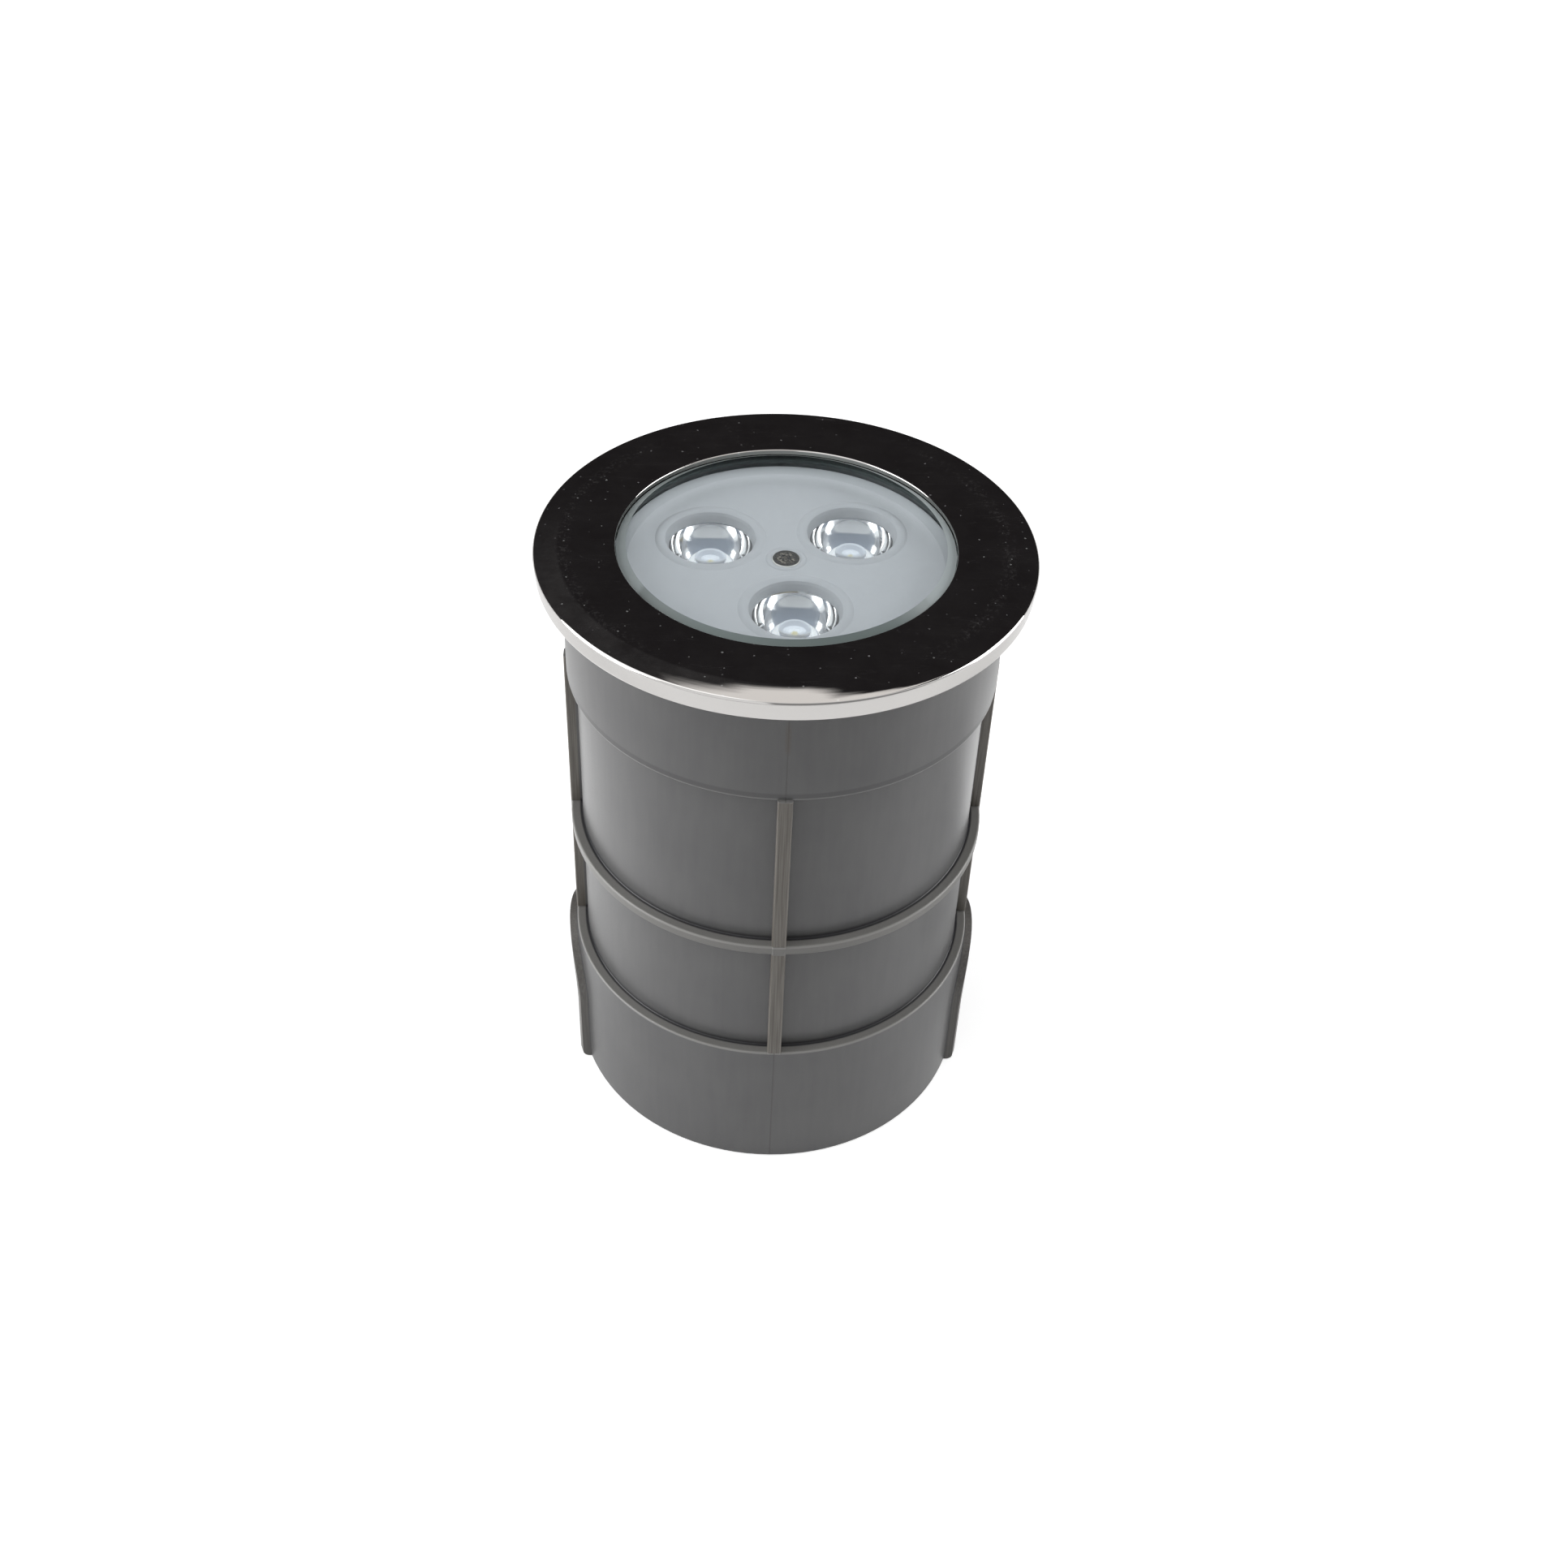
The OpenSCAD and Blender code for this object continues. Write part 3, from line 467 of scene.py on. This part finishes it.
def bevel_glass():
    """The polished bevel round the glass: grey-green, with painted shade at the front and painted light at the
    sides and the right.
    """
    made, n, where = material("bevel_glass_look")
    xyz = n.parts(where)
    fine = n.noise(where, 7.0, 3.0)
    # Painted shade towards the front, and painted light that grows paler towards the right
    away = n.between(n.plus(xyz[1], n.times(n.minus(fine, 0.5), 2.0)), *BEVEL_FRONT_SHADE_Y)
    sides = n.mix(n.between(xyz[0], *BEVEL_SIDE_LIGHT_X), paint(118, 125, 125), paint(152, 160, 161))
    matt = n.surface({
        "Base Color": n.mix(away, paint(94, 106, 105), sides), "Roughness": 0.3, "IOR": GLASS_IOR,
        "Normal": n.bump(fine, 0.2, 0.01),
    })
    seen = n.surface({
        "Base Color": (0.9, 0.97, 0.95, 1.0), "Roughness": 0.05, "IOR": GLASS_IOR, "Transmission Weight": 1.0,
    })
    n.output(n.add("ShaderNodeMixShader", {0: 0.85, 1: seen, 2: matt}))
    return made


def screw_steel():
    """Satin stainless steel with a fine grain."""
    made, n, where = material("screw_steel")
    fine = n.noise(where, 14.0, 3.0)
    n.output(n.surface({
        "Base Color": n.tint(fine, srgb(84, 80, 76), srgb(128, 124, 118)),
        "Roughness": n.spread(fine, 0.25, 0.42), "Metallic": 1.0, "Normal": n.bump(fine, 0.2, 0.02),
    }))
    return made


SCREW_SOCKET_FLECKS_R = (2.3, 1.9)
SCREW_FLECKS_R = (3.0, 2.8)
SCREW_RIM_HIGHLIGHT_R = (2.95, 3.05)


def dark_screw():
    """Blackened screw head: pale flecks round its socket, and a painted highlight round its rim."""
    made, n, where = material("dark_screw_look")
    r, _ = radial(n, where)
    fine = n.noise(where, 1.5, 3.0, 0.6)
    grains = n.noise(where, 9.0, 2.0)
    # Pale flecks near the socket and scattered over the head
    by_socket = n.times(n.between(r, *SCREW_SOCKET_FLECKS_R), n.between(fine, 0.5, 0.6))
    scattered = n.times(n.between(grains, 0.66, 0.74), n.between(r, *SCREW_FLECKS_R))
    tint = n.tint(grains, srgb(10, 9, 8), srgb(30, 28, 24), (0.35, 0.65))
    tint = n.mix(n.most(by_socket, scattered), tint, paint(126, 121, 110))
    # Painted highlight round the rim
    tint = n.mix(n.between(r, *SCREW_RIM_HIGHLIGHT_R), tint, paint(206, 206, 202))
    n.output(n.surface({
        "Base Color": tint, "Roughness": n.spread(fine, 0.35, 0.5), "Specular IOR Level": 0.03,
        "Normal": n.bump(fine, 0.4, 0.05),
    }))
    return made


PHOSPHOR_R = (1.5, 0.8)
PRINT_INNER_R = (4.9, 5.3)
PRINT_OUTER_R = (8.9, 8.3)
FOOT_LIGHT_R = (5.2, 4.8)


def light_source():
    """Yellow phosphor under a clear-white silicone dome, on a white ceramic base."""
    made, n, where = material("light_source_look")
    xyz = n.parts(where)
    fine = n.noise(where, 12.0, 2.0)
    base = n.tint(fine, srgb(232, 233, 232), srgb(244, 245, 244))
    yellow = n.tint(fine, srgb(238, 220, 120), srgb(246, 232, 150))
    heart = n.times(n.above(xyz[2], DOME_Z), n.between(from_lens_axis(n, xyz), *PHOSPHOR_R))
    n.output(n.surface({"Base Color": n.mix(heart, base, yellow), "Roughness": 0.3}))
    return made


def white_board():
    """White-lacquered board, with a blue-grey printed ring round each lens; it glows as painted light, more under
    each lens's foot.
    """
    made, n, where = material("white_board_look")
    away = from_lens_axis(n, n.parts(where))
    white = n.tint(n.noise(where, 14.0, 3.0), srgb(226, 230, 232), srgb(240, 243, 244))
    ring = n.times(n.between(away, *PRINT_INNER_R), n.between(away, *PRINT_OUTER_R))
    colour = n.mix(ring, white, paint(128, 140, 156))
    # Painted light: the board glows, more within each lens's foot
    glow = n.mix(n.between(away, *FOOT_LIGHT_R), grey(0.16), grey(0.45))
    n.output(n.surface({
        "Base Color": colour, "Roughness": 0.35, "Emission Color": colour, "Emission Strength": glow,
    }))
    return made


LOOKS = {
    "sleeve_plastic": sleeve_plastic(),
    "polished_stainless": mirror_steel(),
    "stainless_screw": screw_steel(),
    "dark_screw": dark_screw(),
    "toughened_glass": clear("toughened_glass_look", (0.965, 0.985, 0.98), GLASS_IOR, 0.02),
    "silicone": plain("silicone_look", srgb(58, 66, 66), 0.5, grain_mm=0.01),
    "cast_housing": plain("cast_housing_look", srgb(92, 96, 98), 0.5, grain=6.0, grain_mm=0.05, lit=True),
    "panel_plastic": plain(
        "panel_plastic_look", srgb(155, 159, 164), 0.38, grain=10.0, grain_mm=0.008, spread=0.03, lit=True,
        painted_back_light=srgb(206, 211, 216),
    ),
    "brass_part": plain("brass_look", (0.6, 0.5, 0.32), 0.35, metal=1.0),
    "clear_lens": clear("clear_lens_look", (0.96, 0.975, 1.0), ACRYLIC_IOR, 0.02, film=0.04),
    "lens_well": lens_well(),
    "light_source": light_source(),
    "bevel_glass": bevel_glass(),
    "white_board": white_board(),
    "thermal_pad": plain("thermal_pad_look", srgb(140, 146, 152), 0.7),
    "aluminium_plate": plain("aluminium_look", (0.72, 0.73, 0.74), 0.32, metal=1.0),
    "green_board": plain("green_board_look", srgb(20, 92, 52), 0.3),
    "copper_winding": plain("copper_winding_look", srgb(168, 92, 48), 0.35, metal=0.6, grain=30.0),
    "capacitor_sleeve": plain("capacitor_look", srgb(28, 34, 62), 0.3),
    "ferrite": plain("ferrite_look", srgb(48, 48, 50), 0.6),
    "black_plastic": plain("black_plastic_look", srgb(30, 30, 31), 0.45),
    "red_wire": plain("red_wire_look", srgb(176, 32, 26), 0.4),
    "black_wire": plain("black_wire_look", srgb(26, 26, 27), 0.4),
    "gland_plastic": plain("gland_plastic_look", srgb(34, 34, 36), 0.4, grain_mm=0.03),
    "rubber_seal": plain("rubber_look", srgb(32, 32, 32), 0.7, grain_mm=0.03),
    "spring_steel": plain("spring_steel_look", (0.55, 0.56, 0.57), 0.22, metal=1.0),
}

for part in frame["record"]["subparts"]:
    for slot in nodes[part["node"]].material_slots:
        slot.material = LOOKS[part["material_slot"]]


# Smooth round pieces

ON_AXIS = 1e-6
CLOSE = 0.01


def lathe(name, profile, look, body, replaced, turns=256, sharp=40.0, centre=(0.0, 0.0)):
    """A round piece turned from a profile of (radius, height) points in millimetres, closed on itself."""
    verts, faces, rings = [], [], []
    for radius, height in profile:
        if radius < ON_AXIS:
            verts.append((centre[0] * MM, centre[1] * MM, height * MM))
            rings.append([len(verts) - 1] * turns)
            continue
        rings.append(range(len(verts), len(verts) + turns))
        for i in range(turns):
            a = 2 * math.pi * i / turns
            x = centre[0] + radius * math.cos(a)
            y = centre[1] + radius * math.sin(a)
            verts.append((x * MM, y * MM, height * MM))
    for k, a in enumerate(rings):
        b = rings[(k + 1) % len(rings)]
        for i in range(turns):
            j = (i + 1) % turns
            corners = list(dict.fromkeys((a[i], a[j], b[j], b[i])))
            if len(corners) > 2:
                faces.append(corners)
    mesh = bpy.data.meshes.new(name)
    mesh.from_pydata(verts, [], faces)
    mesh.update()
    mesh.polygons.foreach_set("use_smooth", [True] * len(mesh.polygons))
    mesh.set_sharp_from_angle(angle=math.radians(sharp))
    mesh.materials.append(LOOKS[look])
    piece = bpy.data.objects.new(name, mesh)
    bpy.context.scene.collection.objects.link(piece)
    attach(piece, body)
    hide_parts(replaced)
    return piece


def arc(centre, radius, start, end, steps):
    """Points on an arc from start to end, in degrees."""
    points = []
    for i in range(steps + 1):
        a = math.radians(start + (end - start) * i / steps)
        points.append((centre[0] + radius * math.cos(a), centre[1] + radius * math.sin(a)))
    return points


def bulge_radius(width, rise):
    """Radius of the arc that rises or falls by rise over width from its level end."""
    return (width ** 2 + rise ** 2) / (2 * rise)


# The bezel, with its crown and rim as fine arcs in place of the solid's short straight steps
BEZEL_R = 55.7
BEZEL_OPENING_R = 37.7
BEZEL_RECESS_R = 40.8
STEP_R = 50.3
CROWN_W = 5.5
CROWN_DROP = 0.7
RIM_R = 0.7
RIM_FOOT_R = 0.4
RIM_DRAFT = 0.3
LIP_R = 0.3
DECK_Z = 147.7
BEARING_Z = 148.1
CEILING_Z = 150.8


def bezel_profile():
    fall_r = bulge_radius(CROWN_W, CROWN_DROP)
    fall_a = math.degrees(math.acos((CROWN_W - RIM_R) / (fall_r - RIM_R)))
    rim_z = BEZEL_TOP_Z - fall_r + (fall_r - RIM_R) * math.sin(math.radians(fall_a))
    return (
        [(BEZEL_RECESS_R, BEARING_Z), (STEP_R, BEARING_Z), (STEP_R, DECK_Z)]
        + arc((BEZEL_R - RIM_DRAFT - RIM_FOOT_R, DECK_Z + RIM_FOOT_R), RIM_FOOT_R, -90, 0, 12)
        + arc((BEZEL_R - RIM_R, rim_z), RIM_R, 0, fall_a, 24)
        + arc((BEZEL_R - CROWN_W, BEZEL_TOP_Z - fall_r), fall_r, fall_a, 90, 40)[1:]
        + arc((BEZEL_OPENING_R + LIP_R, BEZEL_TOP_Z - LIP_R), LIP_R, 90, 180, 10)
        + [(BEZEL_OPENING_R, CEILING_Z), (BEZEL_RECESS_R, CEILING_Z)]
    )


lathe("bezel_polished", bezel_profile(), "polished_stainless", "luminaire", "bezel_ring", turns=512)

# The clear lenses, with a smooth parabolic side and a well over each light source
LENS_Z = 132.8
LENS_H = 10.0
LENS_FLANGE_H = 1.0
LENS_FLANGE_R = 10.9
LENS_FOOT_R = 5.2
LENS_SIDE_TOP_R = 9.6
LENS_RIM_SLOPE = 0.22
LENS_SIDE_STEPS = 64
WELL_R = 3.8
WELL_TOP_R = 3.6
WELL_H = 3.3
WELL_BULGE = 0.6


def lens_profile():
    """The side is a parabola that ends at the flange with the slope LENS_RIM_SLOPE."""
    side_h = LENS_H - LENS_FLANGE_H
    foot_slope = 2 * (LENS_SIDE_TOP_R - LENS_FOOT_R) / side_h - LENS_RIM_SLOPE
    bend = (LENS_RIM_SLOPE - foot_slope) / (2 * side_h)
    heights = [side_h * i / LENS_SIDE_STEPS for i in range(LENS_SIDE_STEPS + 1)]
    side = [(LENS_FOOT_R + foot_slope * z + bend * z ** 2, z) for z in heights]
    bulge_r = bulge_radius(WELL_TOP_R, WELL_BULGE)
    edge = math.degrees(math.asin(WELL_TOP_R / bulge_r))
    roof = arc((0, WELL_H + bulge_r - WELL_BULGE), bulge_r, -90, -90 + edge, 24)
    roof[0] = (0.0, WELL_H - WELL_BULGE)
    top = [(LENS_FLANGE_R, side_h), (LENS_FLANGE_R, LENS_H), (0, LENS_H)]
    return [(r, LENS_Z + z) for r, z in roof + [(WELL_R, 0)] + side + top]


for name, middle in LENS_AXES.items():
    lens = lathe(
        "clear_" + name, lens_profile(), "clear_lens", "luminaire", name, turns=128, sharp=30.0, centre=middle,
    )
    lens.visible_shadow = False
    lens.data.materials.append(LOOKS["lens_well"])
    for face in lens.data.polygons:
        low = face.center.z / MM < LENS_Z + WELL_H + CLOSE
        if low and (face.center.xy / MM - Vector(middle)).length < WELL_R + CLOSE:
            face.material_index = 1

# The screw in the middle of the panel, its head flush as the photograph shows it, with a six-sided socket
SCREW_SEAT_Z = 145.0
SCREW_HEAD_R = 3.1
SCREW_HEAD_H = 0.25
SCREW_HEAD_EDGE = 0.15
SCREW_SHANK_R = 1.5
SCREW_FOOT_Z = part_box("panel_screw")[0].z / MM
SCREW_TOP_Z = SCREW_SEAT_Z + SCREW_HEAD_H
SOCKET_R = 1.4
SOCKET_FLOOR_Z = SCREW_TOP_Z - 1.2

screw = lathe("panel_screw_flush", [
    (0, SCREW_FOOT_Z), (SCREW_SHANK_R, SCREW_FOOT_Z), (SCREW_SHANK_R, SCREW_SEAT_Z), (SCREW_HEAD_R, SCREW_SEAT_Z),
    (SCREW_HEAD_R, SCREW_TOP_Z - SCREW_HEAD_EDGE), (SCREW_HEAD_R - SCREW_HEAD_EDGE, SCREW_TOP_Z),
    (SOCKET_R, SCREW_TOP_Z), (SOCKET_R, SOCKET_FLOOR_Z), (0, SOCKET_FLOOR_Z),
], "dark_screw", "luminaire", "panel_screw", turns=96, sharp=25.0)
for vert in screw.data.vertices:
    if abs(vert.co.xy.length / MM - SOCKET_R) < CLOSE:
        turn = math.atan2(vert.co.y, vert.co.x) % (math.pi / 3) - math.pi / 6
        vert.co.xy *= math.cos(math.pi / 6) / math.cos(turn)

# The glass, with its bevel
GLASS_R = 37.5
GLASS_FLANGE_R = 39.9
BEVEL_W = 2.1
BEVEL_H = 1.2
GLASS_Z = 147.0
GLASS_FLANGE_TOP_Z = 150.0
GLASS_EDGE = 0.3

glass = lathe("glass_clear", [
    (0, GLASS_Z), (GLASS_FLANGE_R - GLASS_EDGE, GLASS_Z), (GLASS_FLANGE_R, GLASS_Z + GLASS_EDGE),
    (GLASS_FLANGE_R, GLASS_FLANGE_TOP_Z - GLASS_EDGE), (GLASS_FLANGE_R - GLASS_EDGE, GLASS_FLANGE_TOP_Z),
    (GLASS_R, GLASS_FLANGE_TOP_Z), (GLASS_R, BEZEL_TOP_Z - BEVEL_H),
    (GLASS_R - BEVEL_W, BEZEL_TOP_Z), (0, BEZEL_TOP_Z),
], "toughened_glass", "luminaire", "glass_lens", turns=256, sharp=20.0)
glass.visible_shadow = False
glass.data.materials.append(LOOKS["bevel_glass"])
for face in glass.data.polygons:
    if face.center.z / MM > BEZEL_TOP_Z - BEVEL_H and face.center.xy.length / MM > GLASS_R - BEVEL_W:
        face.material_index = 1


# Studio

LAMP_MIDDLE = (0, 0, 0.08)
LAMP_TOP = (0, 0, 0.15)


def area_light(name, place, target, size, power):
    data = bpy.data.lights.new(name, "AREA")
    data.shape = "RECTANGLE"
    data.size, data.size_y = size
    data.energy = power
    light = bpy.data.objects.new(name, data)
    light.location = place
    light.rotation_mode = "QUATERNION"
    light.rotation_quaternion = (Vector(target) - Vector(place)).to_track_quat("-Z", "Y")
    bpy.context.scene.collection.objects.link(light)
    return light


FLOOR_HALF = 6.0
FLOOR_DROP = 0.0001
FLOOR_COLOUR = grey(0.7)
FLOOR_MIRRORED = 0.25
FLOOR_MIRRORED_LEFT = 0.5
FLOOR_MIRRORED_RIGHT = 0.56
FLOOR_NEAR = (205.0, 155.0)
FLOOR_SHOWN = (300.0, 1200.0, 0.62, 1.0)
FLOOR_LEFT_X, FLOOR_LEFT_Y = (-50.0, -120.0), (-80.0, -20.0)
FLOOR_RIGHT_X, FLOOR_RIGHT_Y = (50.0, 90.0), (45.0, 75.0)
FLOOR_SHADE_X, FLOOR_SHADE_Y = (50.0, 80.0), (12.0, 22.0, 25.0)


def make_floor():
    """A wide pale floor that shows as the photograph's white and keeps a faint shadow.

    In reflections it is brighter to the left and the right of the lamp, as the photograph's sleeve mirrors it.
    """
    mesh = bpy.data.meshes.new("floor")
    s = FLOOR_HALF
    mesh.from_pydata([(-s, -s, 0), (s, -s, 0), (s, s, 0), (-s, s, 0)], [], [(0, 1, 2, 3)])
    floor = bpy.data.objects.new("floor", mesh)
    floor.location.z = -FLOOR_DROP
    made, n, where = material("floor_white")
    rays = n.add("ShaderNodeLightPath").outputs
    reach, (x, y, _) = radial(n, where)
    near = n.between(reach, *FLOOR_NEAR)
    left = n.times(n.between(x, *FLOOR_LEFT_X), n.between(y, *FLOOR_LEFT_Y))
    right = n.times(n.between(x, *FLOOR_RIGHT_X), n.between(y, *FLOOR_RIGHT_Y))
    shade = n.times(n.between(x, *FLOOR_SHADE_X), n.near(y, *FLOOR_SHADE_Y))
    beside = n.plus(n.times(left, FLOOR_MIRRORED_LEFT), n.times(right, FLOOR_MIRRORED_RIGHT))
    level = n.plus(FLOOR_MIRRORED, n.times(near, beside))
    level = n.times(level, n.minus(1.0, n.times(near, shade)))
    mirrored = n.most(rays["Is Glossy Ray"], rays["Is Transmission Ray"])
    shown = n.times(rays["Is Camera Ray"], n.between(reach, *FLOOR_SHOWN))
    diffuse = n.add("ShaderNodeBsdfDiffuse", {"Color": FLOOR_COLOUR})
    glow = n.add("ShaderNodeEmission", {"Color": grey(1.0), "Strength": n.plus(shown, n.times(mirrored, level))})
    n.output(n.add("ShaderNodeAddShader", {0: diffuse, 1: glow}))
    mesh.materials.append(made)
    bpy.context.scene.collection.objects.link(floor)


# What the bezel mirrors: the ceiling, from the horizon up, and the bright patch on it. The patch begins at the
# height that its edge gives for each place across, from PATCH_LEFT over PATCH_WIDTH.
DARK_CEILING = (0.0115, 0.0098, 0.0107)
CEILING = ((0.0, 0.95), (0.14, 0.9), (0.30, 0.04), (0.40, DARK_CEILING), (1.0, DARK_CEILING))
PATCH_COLOUR = (0.93, 0.90, 0.875, 1.0)
PATCH_LEFT = -0.3
PATCH_WIDTH = 0.6
PATCH_SOFT = (0.08, 0.16, 0.10, 0.02)
STREAK_HEIGHT = 0.05
PATCH_EDGE = (
    (0.0, 0.90), (0.13, 0.88), (0.24, 0.825), (0.433, 0.77), (0.49, 0.70), (0.53, 0.685), (0.583, 0.675),
    (0.617, 0.72), (0.675, 0.82), (0.75, 0.85), (0.9, 0.85),
)

# What the clear pieces show behind them, from the horizon to straight up
SKY_LOW = (0.95, 0.95, 0.95)
SKY_PALE = (0.8, 0.82, 0.85)
SKY_DARK = (0.45, 0.48, 0.53)
SKY = ((0.0, SKY_LOW), (0.2, SKY_PALE), (0.5, SKY_DARK), (0.86, SKY_DARK), (0.93, SKY_PALE))
SKY_BACK = (1.0, 1.02, 1.06, 1.0)
SKY_SIDE = (0.98, 0.99, 1.0, 1.0)


def make_world():
    """White to the camera. In reflections, white round the horizon and a dark ceiling with one bright patch."""
    world = bpy.data.worlds.new("studio")
    bpy.context.scene.world = world
    world.use_nodes = True
    n = Nodes(world.node_tree)
    x, y, up = n.parts(n.add("ShaderNodeTexCoord").outputs["Generated"])
    sideways = n.size(x)
    left = n.between(x, -0.06, -0.14)

    # Rays of reflection: horizon and ceiling, the patch with a streaked edge, the left wall, the front
    lower = n.times(up, n.between(y, 0.1, 0.6, 1.0, 5.0))
    mirrored = n.ramp(lower, *CEILING)
    edge = n.ramp(n.math("DIVIDE", n.minus(x, PATCH_LEFT), PATCH_WIDTH), *PATCH_EDGE)
    stretched = n.add("ShaderNodeCombineXYZ", {0: n.times(x, 14.0), 1: y, 2: n.times(up, 45.0)}).outputs[0]
    streaks = n.times(n.minus(n.noise(stretched, 1.0, 3.0), 0.5), STREAK_HEIGHT)
    patch = n.between(n.plus(n.minus(up, edge), streaks), -0.02, n.between(x, *PATCH_SOFT))
    mirrored = n.mix(patch, mirrored, PATCH_COLOUR)
    wall = n.times(left, n.between(y, 0.45, 0.3), n.between(up, 0.5, 0.65))
    mirrored = n.mix(wall, mirrored, grey(1.5))
    front = n.times(n.between(y, -0.15, -0.35), n.between(up, -0.05, 0.05))
    front_colour = n.mix(n.between(y, -0.45, -0.6), grey(0.75), n.mix(left, grey(0.3), grey(0.95)))
    mirrored = n.mix(front, mirrored, front_colour)

    # Rays through the clear pieces
    through = n.ramp(up, *SKY)
    through = n.mix(n.times(n.between(y, -0.05, 0.05), n.between(up, 0.9, 0.8)), through, SKY_BACK)
    through = n.mix(n.between(sideways, 0.2, 0.3), through, SKY_SIDE)

    rays = n.add("ShaderNodeLightPath").outputs
    scattered = n.mix(n.between(sideways, 0.2, 0.8), grey(0.14), grey(0.5))
    colour = n.mix(rays["Is Glossy Ray"], scattered, mirrored)
    colour = n.mix(rays["Is Transmission Ray"], colour, through)
    colour = n.mix(rays["Is Camera Ray"], colour, grey(1.0))
    background = n.add("ShaderNodeBackground", {"Color": colour, "Strength": 1.0})
    n.add("ShaderNodeOutputWorld", {"Surface": background})


make_camera()
make_floor()
make_world()
area_light("left_softbox", (-0.9, -0.1, 0.45), LAMP_MIDDLE, (0.7, 0.9), 8.1)
area_light("right_softbox", (0.9, 0.1, 0.45), LAMP_MIDDLE, (0.6, 0.9), 6.6)
top = area_light("top_softbox", (-0.1, -0.1, 1.0), LAMP_TOP, (0.5, 0.5), 2.6)
top.visible_glossy = False
top.visible_transmission = False

view = bpy.context.scene.view_settings
view.view_transform = "Standard"
